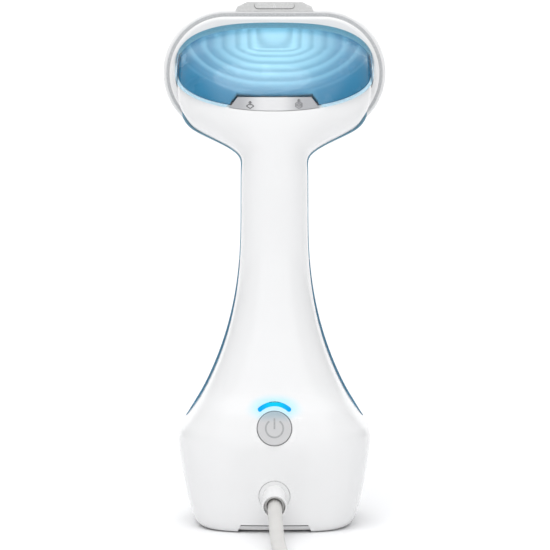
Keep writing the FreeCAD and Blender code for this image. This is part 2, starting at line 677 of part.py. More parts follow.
# Steam level rocker: a curved plate below the window, with a skirt inside that turns on a pin.
rocker_plate = blue_skin.cut(skin(body_sections(inset=2.4, overrun=3.0))).common(rocker_region(0))
rocker_plate = rocker_plate.common(side_prism([(-FAR, seam_at(-FAR, 0.45)), (FAR, seam_at(FAR, 0.45)),
                                               (FAR, 400), (-FAR, 400)]))
skirt = skin(body_sections(inset=wall + 1.0,
                           overrun=3.0)).cut(skin(body_sections(inset=wall + 2.4, overrun=3.0)))
skirt = skirt.common(Part.makeBox(12, 40, 9.4, Vector(-6, -40, 230)))
skirt_top = skin(body_sections(inset=1.0,
                               overrun=3.0)).cut(skin(body_sections(inset=wall + 2.2, overrun=3.0)))
skirt_top = skirt_top.common(Part.makeBox(12, 40, 1.2, Vector(-6, -40, 238.2)))
pivot_y, pivot_low, pivot_high = -9.5, 231.0, 238.0
hub = Part.makeCylinder(2.4, pivot_high - pivot_low, Vector(0, pivot_y, pivot_low))
web = Part.makeBox(4, 4.4, pivot_high - pivot_low, Vector(-2, pivot_y - 4.4, pivot_low))
arms = Part.makeBox(40, 1.8, 5, Vector(-20, pivot_y - 1.6, 232))
rocker = rocker_plate.fuse([skirt, skirt_top, hub, web, arms])
rocker = rocker.cut(Part.makeCylinder(1.05, 20, Vector(0, pivot_y, 225)))
feature("level_rocker", rocker.removeSplitter())
keep("rocker_pin", rod("rocker_pin_form", upward(0, pivot_y, 228.8), 1.0, 11.2))
bracket_arms = [block(f"rocker_arm_{i}", upward(-4, pivot_y - 1.7, z), 8, 7.3, 1.6)
                for i, z in enumerate((228.9, 238.4))]
bracket_back = block("rocker_back", upward(-24, pivot_y + 5.0, 228.0), 48, 1.6, 12.6)
pin_hole = rod("rocker_pin_hole", upward(0, pivot_y, 226), 1.0, 18)
keep("rocker_bracket",
     cut("rocker_bracket_form", fuse("rocker_bracket_solid", bracket_back, *bracket_arms), pin_hole))
taps = []
for side, x in (("left", -17), ("right", 17)):
    case = block(f"tap_case_{side}", upward(x - 3, pivot_y + 2.4, 231.5), 6, 2.6, 6)
    tip = rod(f"tap_tip_{side}", rearward(x, pivot_y + 2.4, 234.5), 1.6, 1.6)
    taps.append(fuse(f"tap_{side}", case, tip))
keep("level_switches", group("level_switches_form", *taps))

# Purge button on top of the bezel: a small hood with a slanted face.
hood_low, hood_high = 289.0, 293.9
hood_rear, hood_lip, hood_front = 37.9, 41.7, 44.3
tab_half, tab_top_half = size("tab_half_width"), size("tab_top_half_width")
hood_side = side_prism([(hood_rear, hood_low), (hood_lip, hood_high), (hood_front, hood_high),
                        (hood_front, hood_low)])
hood_face = Part.Face(Part.makePolygon([Vector(x, 30, z) for x, z in (
    (-tab_half, hood_low - 1.5), (tab_half, hood_low - 1.5), (tab_half - 1.6, hood_low + 2.3),
    (tab_top_half, hood_high + 0.01), (-tab_top_half, hood_high + 0.01), (-tab_half + 1.6, hood_low + 2.3),
    (-tab_half, hood_low - 1.5))])).extrude(Vector(0, 20, 0))
hood = hood_side.common(hood_face)
slant = math.degrees(math.atan2(hood_high - hood_low, hood_lip - hood_rear))
clean_place = pitched(0, (hood_rear + hood_lip) / 2, (hood_low + hood_high) / 2, 90 - slant)
clean_place = Placement(clean_place.multVec(Vector(0, 0.55, 0)), clean_place.Rotation)
clean_long, clean_high = size("clean_half_length"), size("clean_half_height")


def pill(place, half_length, half_height, low, high):
    """A stadium prism on this placement: across in X, thick along its axis."""
    straight = half_length - half_height
    body = Part.makeBox(2 * straight, 2 * half_height, high - low, Vector(-straight, -half_height, low))
    ends = [Part.makeCylinder(half_height, high - low, Vector(x, 0, low)) for x in (-straight, straight)]
    shape = body.fuse(ends).removeSplitter()
    shape.Placement = place
    return shape


doc.recompute()
bezel_solid = nodes["front_bezel"].Shape
hood = hood.cut(bezel_solid).cut(pill(clean_place, clean_long + 0.25, clean_high + 0.25, -1.35, 4))
feature("clean_housing", max(hood.Solids, key=lambda s: s.Volume))
feature("clean_button", pill(clean_place, clean_long, clean_high, -0.5, 0.5))
feature("clean_dome", pill(clean_place, 3.0, 1.6, -1.35, -1.15))

# Steam trigger at the front of the grip.
pin_y, pin_z = 12.6, 196.2
trigger = new_body("steam_trigger")
side_view = sketch_on(trigger, "YZ_Plane", "trigger_side")
draw_outline(side_view,
             [(9.6, 198.6), (15.2, 199.4), (18.8, 196.5), (23.2, 190.0), (25.4, 182.0), (25.0, 174.5),
              (22.4, 168.2), (19.4, 167.4), (18.6, 172.0), (18.2, 186.0), (14.0, 192.2), (9.6, 193.8)])
trigger_pad = pad(trigger, "trigger_pad", side_view, "Dimensions.trigger_width", midplane=True)
pin_hole_sketch = sketch_on(trigger, "YZ_Plane", "trigger_pin_hole")
draw_circle(pin_hole_sketch, pin_y, pin_z, "Dimensions.trigger_pin_radius + 0.05")
pocket(trigger, "trigger_bore", pin_hole_sketch, "Dimensions.trigger_width + 2", midplane=True)
soften(trigger, "trigger_round", trigger.Tip, 1.4,
       lambda e: e.BoundBox.XLength < 0.01 and abs(abs(e.BoundBox.XMin) - trigger_half) < 0.01
       and (e.BoundBox.YMin + e.BoundBox.YMax) / 2 > 20 and e.BoundBox.ZMax < 197)
keep("trigger_pin",
     rod("trigger_pin_form", sideways(-9.3, pin_y, pin_z), "Dimensions.trigger_pin_radius", 18.6))
yoke_ears = [block(f"trigger_ear_{i}", upward(x, 2.6, pin_z - 4), 2.2, 12.2, 7.4)
             for i, x in enumerate((-9.3, 7.1))]
yoke_back = block("yoke_back", upward(-9.3, 1.0, 166), 18.6, 1.6, 34)
yoke_hole = rod("yoke_hole", sideways(-12, pin_y, pin_z), "Dimensions.trigger_pin_radius", 24)
keep("trigger_yoke", cut("trigger_yoke_form", fuse("yoke_solid", yoke_back, *yoke_ears), yoke_hole))
micro = block("micro_case", upward(-3.1, 2.6, 168), 6.2, 8.6, 12)
micro_tip = rod("micro_tip", forward(0, 11.2, 172), 1.2, 1.6)
keep("trigger_switch", fuse("trigger_switch_form", micro, micro_tip))
# The return spring is a leaf: a foot on the yoke and an arm that reaches for the trigger.
LEAF = [(2.6, 181.0), (3.1, 181.0), (3.1, 187.6), (16.6, 183.2), (16.8, 183.7), (2.6, 188.3)]
feature("trigger_spring", side_prism(LEAF, half_width=2.5))

# Base: bottom plate, feet, posts and screws ---------------------------------------------------------

plate_skin = skin(body_sections(inset=wall + 0.3, overrun=3.0))
PLATE_LOW, PLATE_HIGH, SCREW_HEAD = 1.4, 3.6, 1.0
bottom = plate_skin.common(Part.makeBox(240, 240, PLATE_HIGH - PLATE_LOW, Vector(-FAR, -FAR, PLATE_LOW)))
SCREW_PLACES = [(x, y) for x in (-35.5, 35.5) for y in (-15.5, 15.5)]
for x, y in SCREW_PLACES:
    bottom = bottom.cut(Part.makeCylinder(1.6, 10, Vector(x, y, 0)))
feature("base_plate", bottom)
FOOT_PLACES = [(x, y) for x in (-26.0, 26.0) for y in (-26.0, 26.0)]
feet = [bound("Part::Cone", f"foot_{i}", upward(x, y, 0), Radius1=5.6, Radius2=6.2, Height=PLATE_LOW)
        for i, (x, y) in enumerate(FOOT_PLACES)]
keep("feet", group("feet_form", *feet))
posts = []
screws = []
for x, y in SCREW_PLACES:
    rib = Part.makeBox(14, 3, 20, Vector(x if x > 0 else x - 14, y - 1.5, PLATE_HIGH))
    post = Part.makeCylinder(4.2, 20, Vector(x, y, PLATE_HIGH)).fuse(rib)
    posts.append(post.cut(Part.makeCylinder(1.55, 30, Vector(x, y, 0))).common(white_skin))
    head = Part.makeCylinder(3.0, SCREW_HEAD, Vector(x, y, PLATE_LOW - SCREW_HEAD))
    slot = Part.makeBox(6, 0.9, 0.6, Vector(x - 3, y - 0.45, PLATE_LOW - SCREW_HEAD))
    screws.append(head.fuse(Part.makeCylinder(1.5, 14, Vector(x, y, PLATE_LOW - 0.1))).cut(slot))
feature("base_screws", Part.makeCompound(screws))
shell = nodes["rear_shell"]
dish_tool = Part.makeCylinder(13.7, 12)
dish_tool.Placement = along(button_place, -0.55)
dished = shell.Shape.cut(dish_tool)
for post in posts:
    dished = dished.fuse(post)
shell.Shape = dished

# Water path: seat for the tank's spout, pump, hoses -------------------------------------------------

seat_outer = rod("seat_outer", rearward(0, split - 1.0, outlet_z), f"{outlet_radius} + 2.6", 9.5)
seat_bore = rod("seat_bore", rearward(0, split, outlet_z), f"{outlet_radius} + 0.06", 7.6)
seat_way = rod("seat_way", rearward(0, split, outlet_z), 1.6, 20)
keep("tank_seat", cut("tank_seat_form", seat_outer, seat_bore, seat_way))
pump_y, pump_z = 8.0, 32.0
barrel = rod("pump_barrel", sideways(-24, pump_y, pump_z), 9.0, 48)
nose_in = rod("pump_inlet", sideways(-32, pump_y, pump_z), 2.6, 9)
nose_out = rod("pump_outlet", sideways(23, pump_y, pump_z), 2.6, 9)
keep("pump", fuse("pump_form", barrel, nose_in, nose_out))
coil_block = block("pump_coil_block", upward(-15, pump_y - 13, pump_z - 13), 30, 26, 26)
coil_hole = rod("pump_coil_hole", sideways(-20, pump_y, pump_z), 9.0, 40)
keep("pump_coil", cut("pump_coil_form", coil_block, coil_hole))
cradles = []
for i, x in enumerate((-21, 16)):
    cradle = block(f"cradle_{i}", upward(x, pump_y - 12, PLATE_HIGH), 5, 24, 24)
    room = rod(f"cradle_room_{i}", sideways(x - 1, pump_y, pump_z), 9.0, 8)
    cradles.append(cut(f"cradle_cut_{i}", cradle, room))
keep("pump_cradles", group("pump_cradles_form", *cradles))


def soft_path(points, report=""):
    """Straight runs joined by tangent arcs as large as the runs allow; prints the radii if asked."""
    places = [Vector(*p) for p in points]
    edges, start, radii = [], places[0], []
    for before, corner, after in zip(places, places[1:], places[2:]):
        into, out = (corner - before), (after - corner)
        reach = 0.45 * min(into.Length, out.Length)
        into.normalize()
        out.normalize()
        turn = into.getAngle(out)
        radius = reach / math.tan(turn / 2)
        radii.append(radius)
        arc_start, arc_end = corner - into * reach, corner + out * reach
        inward = out - into
        inward.normalize()
        middle = corner + inward * (radius / math.cos(turn / 2) - radius)
        edges.append(Part.LineSegment(start, arc_start).toShape())
        edges.append(Part.Arc(arc_start, middle, arc_end).toShape())
        start = arc_end
    edges.append(Part.LineSegment(start, places[-1]).toShape())
    if report:
        print(f"{report}: radii", ", ".join(f"{r:.0f}" for r in radii))
    return Part.Wire(edges)


def tube(label, points, radius):
    """A round tube along a soft path; its volume is compared with its section times its length."""
    spine = soft_path(points, label)
    solid = pipe(spine, radius)
    expected = math.pi * radius ** 2 * spine.Length
    if abs(solid.Volume / expected - 1) > 0.01:
        raise RuntimeError(f"{label}: volume {solid.Volume:.0f}, expected {expected:.0f}")
    print(f"{label}: length {spine.Length:.1f}")
    return feature(label, solid)


tube("inlet_hose",
     [(0, -8.55, outlet_z), (0, -18, outlet_z), (-11, -26, 72), (-28, -26, 61), (-41, -14, 51),
      (-47, 0, 43), (-43, pump_y, pump_z), (-32.05, pump_y, pump_z)], 2.5)
tube("outlet_hose",
     [(32.05, pump_y, pump_z), (42, pump_y, pump_z), (46.5, 1, 42), (42, -9, 53), (30, -15, 65),
      (15, -17, 82), (7, -12, 104), (5.5, -10.5, 135), (6, -9.5, 166), (8, -6, 195), (13, 3, 214),
      (21, 9, 227), (28, 17.5, 236.1), (28, chamber_rear - 0.05, 236.1)], 2.5)
tube("wiring_loom", [(-14, -24, 26), (-20, -24, 44), (-19, -22, 62), (-10, -18, 84), (-6.5, -12.5, 108),
                     (-6, -11, 138), (-6, -9.5, 168), (-8, -6, 196), (-14, 3, 215), (-23, 9, 229),
                     (-33, 14, 236.5), (-36, 19, 242)], 2.2)

# Power cord ------------------------------------------------------------------------------------------

cord_radius = size("cord_diameter") / 2
pitch_down = size("guard_pitch")
guard_place = pitched(0, -44.0, guard_z, -pitch_down)
guard_disc = rod("guard_disc", rearward(0, -41.0, guard_z), "Dimensions.guard_radius", 4.0)
nozzle = bound("Part::Cone", "guard_nozzle", along(guard_place, -2), Radius1=6.6,
               Radius2="Dimensions.guard_mouth_radius", Height=22.0)
guard_bore = bound("Part::Cone", "guard_bore", along(guard_place, -12), Radius1=4.9,
                   Radius2="Dimensions.guard_bore_radius", Height=32.01)
guard_solid = cut("guard_solid", fuse("guard_outside", guard_disc, nozzle), guard_bore)
keep("cord_guard", rounded("cord_guard_form", guard_solid, 0.4,
                           lambda e: e.BoundBox.YMax < -60.5 and isinstance(e.Curve, Part.Circle)))
clamp_base = along(guard_place, -14)
clamp_jaws = [bound("Part::Box", f"clamp_jaw_{i}", Placement(
    clamp_base.multVec(Vector(-11, low, -8)), clamp_base.Rotation), Length=22, Width=5.5, Height=8)
    for i, low in enumerate((-6.0, 0.5))]
keep("cord_clamp", group("cord_clamp_form", *clamp_jaws))

CORD_ROUTE = [(0, -31.13, 23.31), (0, -49.94, 20.66), (0.3, -69, 17.0), (0.9, -86.5, 11.6),
              (1.8, -103.5, 6.0),
              (3.4, -122.5, 4.2), (6.4, -151, 4.2), (12, -177, 4.2), (22.1, -201.7, 4.2), (37.7, -217.3,
                                                                                           4.2)]
TAIL_ROUTE = [(53.63, -248, 12.8), (53.6, -268, 14.4), (45.95, -286.5, 18.4), (31.8, -300.6, 22.4),
              (13.3, -308.3, 24.9), (-6.2, -308.3, 24.9)]
tube("power_cord", CORD_ROUTE, cord_radius)
tube("cord_tail", TAIL_ROUTE, cord_radius)
COIL_X, COIL_Y, COIL_LOW, LAYER = -3.0, -258.0, 0.6, 8.2
coil_outer = 57.5 + cord_radius + 0.2
coil_inner = 32.5 - cord_radius - 0.2
coil_high = 2 * LAYER
outer_rod = rod("coil_outside", upward(COIL_X, COIL_Y, COIL_LOW), coil_outer, coil_high)
inner_rod = rod("coil_inside", upward(COIL_X, COIL_Y, COIL_LOW - 1), coil_inner, coil_high + 2)
keep("cord_coil", rounded("cord_coil_form", cut("coil_ring", outer_rod, inner_rod), 3.6,
                          lambda e: isinstance(e.Curve, Part.Circle)))
tie_out = block("tie_outside", upward(COIL_X - coil_outer - 0.6, COIL_Y - 5, 0.03),
                coil_outer - coil_inner + 1.8, 10, coil_high + 1.2)
tie_in = block("tie_inside", upward(COIL_X - coil_outer - 0.1, COIL_Y - 6, COIL_LOW - 0.02),
               coil_outer - coil_inner + 0.7, 12, coil_high + 0.04)
keep("coil_tie", cut("coil_tie_form", tie_out, tie_in))

# The plug lies flat on the coil.
PLUG_X, PLUG_Y, PLUG_Z = -6.2, -308.3, 24.9
relief_long, plug_long, plug_wide, plug_thick, blade_long = 16.0, 30.0, 24.0, 15.0, 16.5
relief = bound("Part::Cone", "plug_relief",
               Placement(Vector(PLUG_X, PLUG_Y, PLUG_Z), Rotation(Vector(0, 1, 0), -90)),
               Radius1=5.2, Radius2=7.0, Height=relief_long + 2)
plug_block = block("plug_block", upward(PLUG_X - relief_long - plug_long, PLUG_Y - plug_wide / 2,
                                        PLUG_Z - plug_thick / 2), plug_long, plug_wide, plug_thick)
plug_body = rounded("plug_body", plug_block, 4.0, lambda e: True)
keep("plug", fuse("plug_form", plug_body, relief))
blade_x = PLUG_X - relief_long - plug_long - blade_long
blades = [block(f"blade_{i}", upward(blade_x, PLUG_Y + y - 0.75, PLUG_Z - 3.2), blade_long, 1.5, 6.35)
          for i, y in enumerate((-6.35, 6.35))]
keep("plug_blades", group("plug_blades_form", *blades))


def finish():
    doc.recompute()
    for obj in doc.Objects:
        if "Invalid" in obj.State or "Error" in obj.State:
            raise RuntimeError(f"{obj.Label} did not compute: {obj.State}")
    os.makedirs("parts", exist_ok=True)
    for label, obj in nodes.items():
        shape = obj.Shape
        if shape.isNull() or not shape.isValid() or not shape.Solids:
            raise RuntimeError(f"{label} has no valid solid")
        shape.exportStep(f"parts/{label}.step")
        print(f"{label}: {len(shape.Solids)} solid(s), {shape.Volume:.0f} mm3")


finish()
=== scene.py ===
import json
import math

import bmesh
import bpy
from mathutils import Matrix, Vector
from mathutils.bvhtree import BVHTree


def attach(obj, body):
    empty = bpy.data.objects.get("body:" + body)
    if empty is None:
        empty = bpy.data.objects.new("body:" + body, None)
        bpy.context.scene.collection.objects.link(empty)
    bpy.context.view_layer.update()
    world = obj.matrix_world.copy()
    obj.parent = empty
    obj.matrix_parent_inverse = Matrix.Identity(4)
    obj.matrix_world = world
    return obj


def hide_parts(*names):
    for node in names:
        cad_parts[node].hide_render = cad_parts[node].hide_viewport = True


# A handheld garment steamer on a white studio floor, seen from the user's side.
# Everything is in metres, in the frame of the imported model: +Z up, -Y towards the user.

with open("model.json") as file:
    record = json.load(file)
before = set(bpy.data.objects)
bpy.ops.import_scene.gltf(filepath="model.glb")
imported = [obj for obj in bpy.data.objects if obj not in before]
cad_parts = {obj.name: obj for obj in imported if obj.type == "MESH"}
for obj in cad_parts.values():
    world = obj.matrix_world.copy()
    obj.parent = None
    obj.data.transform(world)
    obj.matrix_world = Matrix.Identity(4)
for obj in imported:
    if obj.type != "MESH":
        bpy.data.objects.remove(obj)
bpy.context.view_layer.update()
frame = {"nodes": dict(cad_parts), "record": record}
nodes = frame["nodes"]
scene = bpy.context.scene
MM = 0.001


# Camera ------------------------------------------------------------------------------------------

VIEW_DISTANCE = 2.4
VIEW_PITCH = math.radians(7.0)
VIEW_TARGET = Vector((0.0003, 0.0, 0.1413))
VIEW_WIDTH = 0.3127      # what the frame spans at the steamer's axis


def make_camera():
    """A long-lens camera, a little above the user's side."""
    data = bpy.data.cameras.new("camera")
    camera = bpy.data.objects.new("camera", data)
    scene.collection.objects.link(camera)
    back = Vector((0, -math.cos(VIEW_PITCH), math.sin(VIEW_PITCH)))
    camera.location = VIEW_TARGET + back * VIEW_DISTANCE
    camera.rotation_mode = "QUATERNION"
    camera.rotation_quaternion = (-back).to_track_quat("-Z", "Y")
    data.lens = data.sensor_width * VIEW_DISTANCE / VIEW_WIDTH
    data.clip_end = 100.0
    scene.camera = camera


# Power cord --------------------------------------------------------------------------------------

CORD_DIAMETER = 8.0
# In mm. The lead lies on the table and runs into the coil; the tail runs from the coil to the plug.
CORD_ROUTE = [(0, -31.13, 23.31), (0, -49.94, 20.66), (0.3, -69, 17.0), (0.9, -86.5, 11.6),
              (1.8, -103.5, 6.0), (3.4, -122.5, 4.2), (6.4, -151, 4.2), (12, -177, 4.2),
              (22.1, -201.7, 4.2)]
TAIL_ROUTE = [(53.6, -268, 14.4), (45.95, -286.5, 18.4), (31.8, -300.6, 22.4), (13.3, -308.3, 24.9),
              (-6.2, -308.3, 24.9)]
COIL_CENTRE = (-3.0, -258.0)
COIL_RADII = (57.5, 32.5)
COIL_LAYERS = (4.6, 12.8)
TURN_POINTS = 16
FIRST_ANGLE, TURN_ANGLE, LAST_ANGLE = 45.0, -1055.0, -2150.0    # in degrees


def coil_points():
    """Points of the coil: inwards on the table, up one layer, and outwards again, clockwise from above."""
    outer, inner = COIL_RADII
    low, high = COIL_LAYERS
    swell = 1 / math.cos(math.pi / TURN_POINTS) ** 0.5   # a spline runs inside its control points
    step = 360 / TURN_POINTS
    points = []
    angle = FIRST_ANGLE
    while angle >= LAST_ANGLE:
        if angle > TURN_ANGLE:
            share = (FIRST_ANGLE - angle) / (FIRST_ANGLE - TURN_ANGLE)
            radius = outer + (inner - outer) * share
        else:
            share = (TURN_ANGLE - angle) / (TURN_ANGLE - LAST_ANGLE)
            radius = inner + (outer - inner) * share
        climb = min(1.0, max(0.0, (TURN_ANGLE + 2 * step - angle) / (4 * step)))
        height = low + (high - low) * climb
        a = math.radians(angle)
        points.append((COIL_CENTRE[0] + swell * radius * math.cos(a),
                       COIL_CENTRE[1] + swell * radius * math.sin(a), height))
        angle -= step
    return points


def make_cord():
    """The mains lead as one curve, from inside the guard to the plug."""
    data = bpy.data.curves.new("mains_lead", "CURVE")
    data.dimensions = "3D"
    data.resolution_u = 8
    data.bevel_depth = 1.0      # the points carry the tube's radius
    data.bevel_resolution = 6
    data.use_fill_caps = True
    spline = data.splines.new("NURBS")
    route = CORD_ROUTE + coil_points() + TAIL_ROUTE
    spline.points.add(len(route) - 1)
    for point, place in zip(spline.points, route):
        point.co = (*(c * MM for c in place), 1.0)
        point.radius = CORD_DIAMETER / 2 * MM
    spline.order_u = 3
    spline.use_endpoint_u = True
    lead = bpy.data.objects.new("mains_lead", data)
    scene.collection.objects.link(lead)
    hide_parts("power_cord", "cord_coil", "cord_tail")
    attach(lead, "body")
    return lead


make_camera()
lead = make_cord()

# Materials ---------------------------------------------------------------------------------------

NOISE_RANGE = (0.3, 0.7)        # nearly all values of a noise lie in it
PATCH_RANGE = (0.35, 0.75)      # of a noise, from one colour to the other
SHARP_RANGE = (0.54, 0.62)      # of Pointiness, from flat to a sharp edge
CHIP_SCALE, CHIP_RANGE = 900.0, (0.42, 0.6)


class Look:
    """A material with one Principled shader, and the procedural detail that feeds it."""

    def __init__(self, name, colour, roughness, **sockets):
        self.material = bpy.data.materials.new(name)
        self.material.use_nodes = True
        self.tree = self.material.node_tree
        self.shader = self.tree.nodes["Principled BSDF"]
        self.colour, self.roughness = colour, roughness
        self.set("Base Color", (*colour, 1.0))
        self.set("Roughness", roughness)
        for socket, value in sockets.items():
            self.set(socket.replace("_", " "), value)
        self.place = self.add("ShaderNodeTexCoord").outputs["Object"]
        self.bump_out = None

    def set(self, socket, value):
        self.shader.inputs[socket].default_value = value

    def add(self, kind, **settings):
        """A node; settings that name an input (i0 and i1 by number) set it or link to it.

        The other settings are the node's properties.
        """
        node = self.tree.nodes.new(kind)
        for key, value in settings.items():
            if hasattr(node, key):
                setattr(node, key, value)
        for key, value in settings.items():
            if hasattr(node, key):
                continue
            numbered = key[0] == "i" and key[1:].isdigit()
            socket = node.inputs[int(key[1:]) if numbered else key]
            if isinstance(value, bpy.types.NodeSocket):
                self.tree.links.new(value, socket)
            else:
                socket.default_value = value
        return node

    def axes(self):
        """The X, Y and Z of each place."""
        return self.add("ShaderNodeSeparateXYZ", Vector=self.place).outputs

    def noise(self, scale, detail=2.0, stretch=None):
        place = self.place
        if stretch:
            place = self.add("ShaderNodeMapping", Vector=place, Scale=stretch).outputs["Vector"]
        return self.add("ShaderNodeTexNoise", Vector=place, Scale=scale, Detail=detail).outputs["Fac"]

    def ranged(self, value, low, high, out_low, out_high, smooth=False):
        kind = "SMOOTHSTEP" if smooth else "LINEAR"
        node = self.add("ShaderNodeMapRange", interpolation_type=kind, Value=value)
        node.inputs["From Min"].default_value = low
        node.inputs["From Max"].default_value = high
        node.inputs["To Min"].default_value = out_low
        node.inputs["To Max"].default_value = out_high
        return node.outputs["Result"]

    def maths(self, operation, a, b=0.0):
        return self.add("ShaderNodeMath", operation=operation, i0=a, i1=b).outputs["Value"]

    def length(self, a, b):
        """The length of the vector (a, b)."""
        squares = self.maths("ADD", self.maths("MULTIPLY", a, a), self.maths("MULTIPLY", b, b))
        return self.maths("SQRT", squares)

    def mix(self, share, a, b):
        """Colour a where share is 0 and b where it is 1."""
        node = self.add("ShaderNodeMix", data_type="RGBA")
        for index, value in ((0, share), (6, a), (7, b)):
            if isinstance(value, bpy.types.NodeSocket):
                self.tree.links.new(value, node.inputs[index])
            else:
                node.inputs[index].default_value = value
        return node.outputs[2]

    def feed(self, socket, value):
        self.tree.links.new(value, self.shader.inputs[socket])
        return self

    def tint(self, share, colour):
        """Lays colour over the present colour where share is 1."""
        base = self.shader.inputs["Base Color"].links[0].from_socket
        return self.feed("Base Color", self.mix(share, base, colour))

    def bump(self, height, depth):
        """Raises the surface by depth metres where height is 1; later bumps add to earlier ones."""
        settings = {"Height": height, "Distance": depth, "Strength": 1.0}
        if self.bump_out:
            settings["Normal"] = self.bump_out
        self.bump_out = self.add("ShaderNodeBump", **settings).outputs["Normal"]
        return self.feed("Normal", self.bump_out)

    def grain(self, scale, depth, detail=3.0):
        return self.bump(self.noise(scale, detail), depth)

    def patchy(self, scale, spread):
        """Roughness that wanders by spread to each side."""
        low, high = self.roughness - spread, self.roughness + spread
        return self.feed("Roughness", self.ranged(self.noise(scale, 4.0), *NOISE_RANGE, low, high))

    def varied(self, other, scale, worn=None):
        """Colour that wanders to other in soft patches, and to worn along sharp edges."""
        share = self.ranged(self.noise(scale, 3.0), *PATCH_RANGE, 0.0, 1.0)
        colour = self.mix(share, (*self.colour, 1.0), (*other, 1.0))
        if worn:
            sharp = self.add("ShaderNodeNewGeometry").outputs["Pointiness"]
            edge = self.ranged(sharp, *SHARP_RANGE, 0.0, 1.0)
            chips = self.ranged(self.noise(CHIP_SCALE, 3.0), *CHIP_RANGE, 0.0, 1.0)
            colour = self.mix(self.maths("MULTIPLY", edge, chips), colour, (*worn, 1.0))
        return self.feed("Base Color", colour)


def lighter(colour, amount):
    return tuple(min(1.0, c * amount) for c in colour)


def gloss_white(name, colour=(0.815, 0.815, 0.815)):
    """Glossy moulded plastic, very slightly worn along its edges."""
    look = Look(name, colour, 0.16, Coat_Weight=0.35, Coat_Roughness=0.06, Specular_IOR_Level=0.45)
    look.varied(lighter(colour, 0.985), 28.0, worn=lighter(colour, 1.06))
    look.patchy(60.0, 0.035)
    return look.grain(1500.0, 0.0000025)


# The light arc over the power button.
LIGHT_CENTRE_Z, LIGHT_RADIUS, LIGHT_HALF_ANGLE = 0.060, 0.013, math.radians(39)
GLOW_NEAR, GLOW_FAR = 0.0011, 0.0078            # off the arc, where the glow starts to fade and ends
GLOW_END_ANGLE = 0.55                           # past the arc's ends, in radians
REAR_FACE_Y, REAR_FACE_FULL_Y = -0.034, -0.036  # the glow lies only on the rear face


def glowing_white(name):
    """Glossy white, tinted with the light arc's cyan where its light spills over the shell."""
    look = gloss_white(name)
    axes = look.axes()
    across = axes["X"]
    rise = look.maths("SUBTRACT", axes["Z"], LIGHT_CENTRE_Z)
    off_arc = look.maths("ABSOLUTE", look.maths("SUBTRACT", look.length(across, rise), LIGHT_RADIUS))
    turn = look.maths("ABSOLUTE", look.maths("ARCTAN2", across, rise))
    near = look.ranged(off_arc, GLOW_NEAR, GLOW_FAR, 1.0, 0.0, smooth=True)
    end = LIGHT_HALF_ANGLE + GLOW_END_ANGLE
    within = look.ranged(turn, LIGHT_HALF_ANGLE, end, 1.0, 0.0, smooth=True)
    rear = look.ranged(axes["Y"], REAR_FACE_Y, REAR_FACE_FULL_Y, 0.0, 1.0)
    share = look.maths("MULTIPLY", look.maths("MULTIPLY", near, within), rear)
    look.feed("Emission Color", look.mix(share, (0, 0, 0, 1), (0.0, 0.035, 0.058, 1)))
    look.set("Emission Strength", 1.0)
    return look.tint(share, (0.50, 0.76, 0.86, 1))


def clear_plastic(name, colour, roughness=0.03, clear=1.0):
    """Clear tinted plastic that lets the share clear of lamp light through to what it covers."""
    look = Look(name, colour, roughness, Transmission_Weight=clear, IOR=1.1, Coat_Weight=0.5,
                Coat_Roughness=0.02)
    smeared = look.ranged(look.noise(45.0, 4.0), *NOISE_RANGE, roughness * 0.85, roughness * 1.15)
    look.feed("Roughness", smeared)
    look.grain(600.0, 0.000002)
    output = look.tree.nodes["Material Output"]
    through = look.add("ShaderNodeBsdfTransparent", Color=(*colour, 1.0))
    lamp = look.add("ShaderNodeLightPath").outputs["Is Shadow Ray"]
    mixed = look.tree.nodes.new("ShaderNodeMixShader")
    look.tree.links.new(look.maths("MULTIPLY", lamp, clear), mixed.inputs[0])
    look.tree.links.new(look.shader.outputs[0], mixed.inputs[1])
    look.tree.links.new(through.outputs[0], mixed.inputs[2])
    look.tree.links.new(mixed.outputs[0], output.inputs["Surface"])
    return look


WINDOW_TINT, WINDOW_RIM_TINT = (0.90, 0.965, 0.99), (0.50, 0.75, 0.84)
WINDOW_RIM_Y, WINDOW_FRONT_Y = 0.0235, 0.0285      # the deeper tint starts and is full here


def window_clear(name):
    """The window's clear plastic, with a deeper tint along its front rim."""
    look = clear_plastic(name, WINDOW_TINT)
    front = look.ranged(look.axes()["Y"], WINDOW_RIM_Y, WINDOW_FRONT_Y, 0.0, 1.0)
    return look.feed("Base Color", look.mix(front, (*WINDOW_TINT, 1), (*WINDOW_RIM_TINT, 1)))


# The steps behind the window are U shapes, open at the top. A U's number is 1 / STEPS on the
# innermost and 1 on the outermost, and its half width and bottom follow from the number.
STEPS = 7
U_HALF, U_SPREAD, U_WIDEN = 0.0101, 0.0449, 1.25        # half widths, and how evenly they grow
U_BOTTOM, U_DROP, U_DEEPEN = 0.2692, 0.0216, 1.5        # bottoms, and how evenly they drop
U_TOP = 0.2855
U_ROUND = 2.6                                           # how square the corners are
# Painted shade: the cover's colour deepens outwards from its middle, where it curves away from the light,
# past a pale share of the way.
GROUND_Z, GROUND_HALF, GROUND_RISE, GROUND_PALE = 0.270, 0.049, 0.030, 0.20
# The shading starts just inside the first U's edge and ends just outside the last one.
SHADE_START, SHADE_FULL, SHADE_END = 1 / STEPS - 0.05, 1 / STEPS - 0.01, 1.06
# A step is shaded by how far a place lies from its inner edge (0) to its outer edge (1).
INNER_SHADE, INNER_SHADE_END = 0.42, 0.30
OUTER_SHADE, OUTER_SHADE_START = 0.38, 0.50
GLINT, GLINT_START, GLINT_PEAK, GLINT_END = 0.30, 0.10, 0.30, 0.75
GLINT_FIRST_U, GLINT_FULL_U = 0.55, 0.80                # only the outer steps have a glint
# A pale tab lies above the innermost U; its sides slant outwards to the top.
TAB_Z, TAB_TOP_Z, TAB_SLANT_Z, TAB_SLANT = 0.2790, 0.2797, 0.2796, 1.6
TAB_HALF, TAB_EDGE = 0.0148, 0.0156


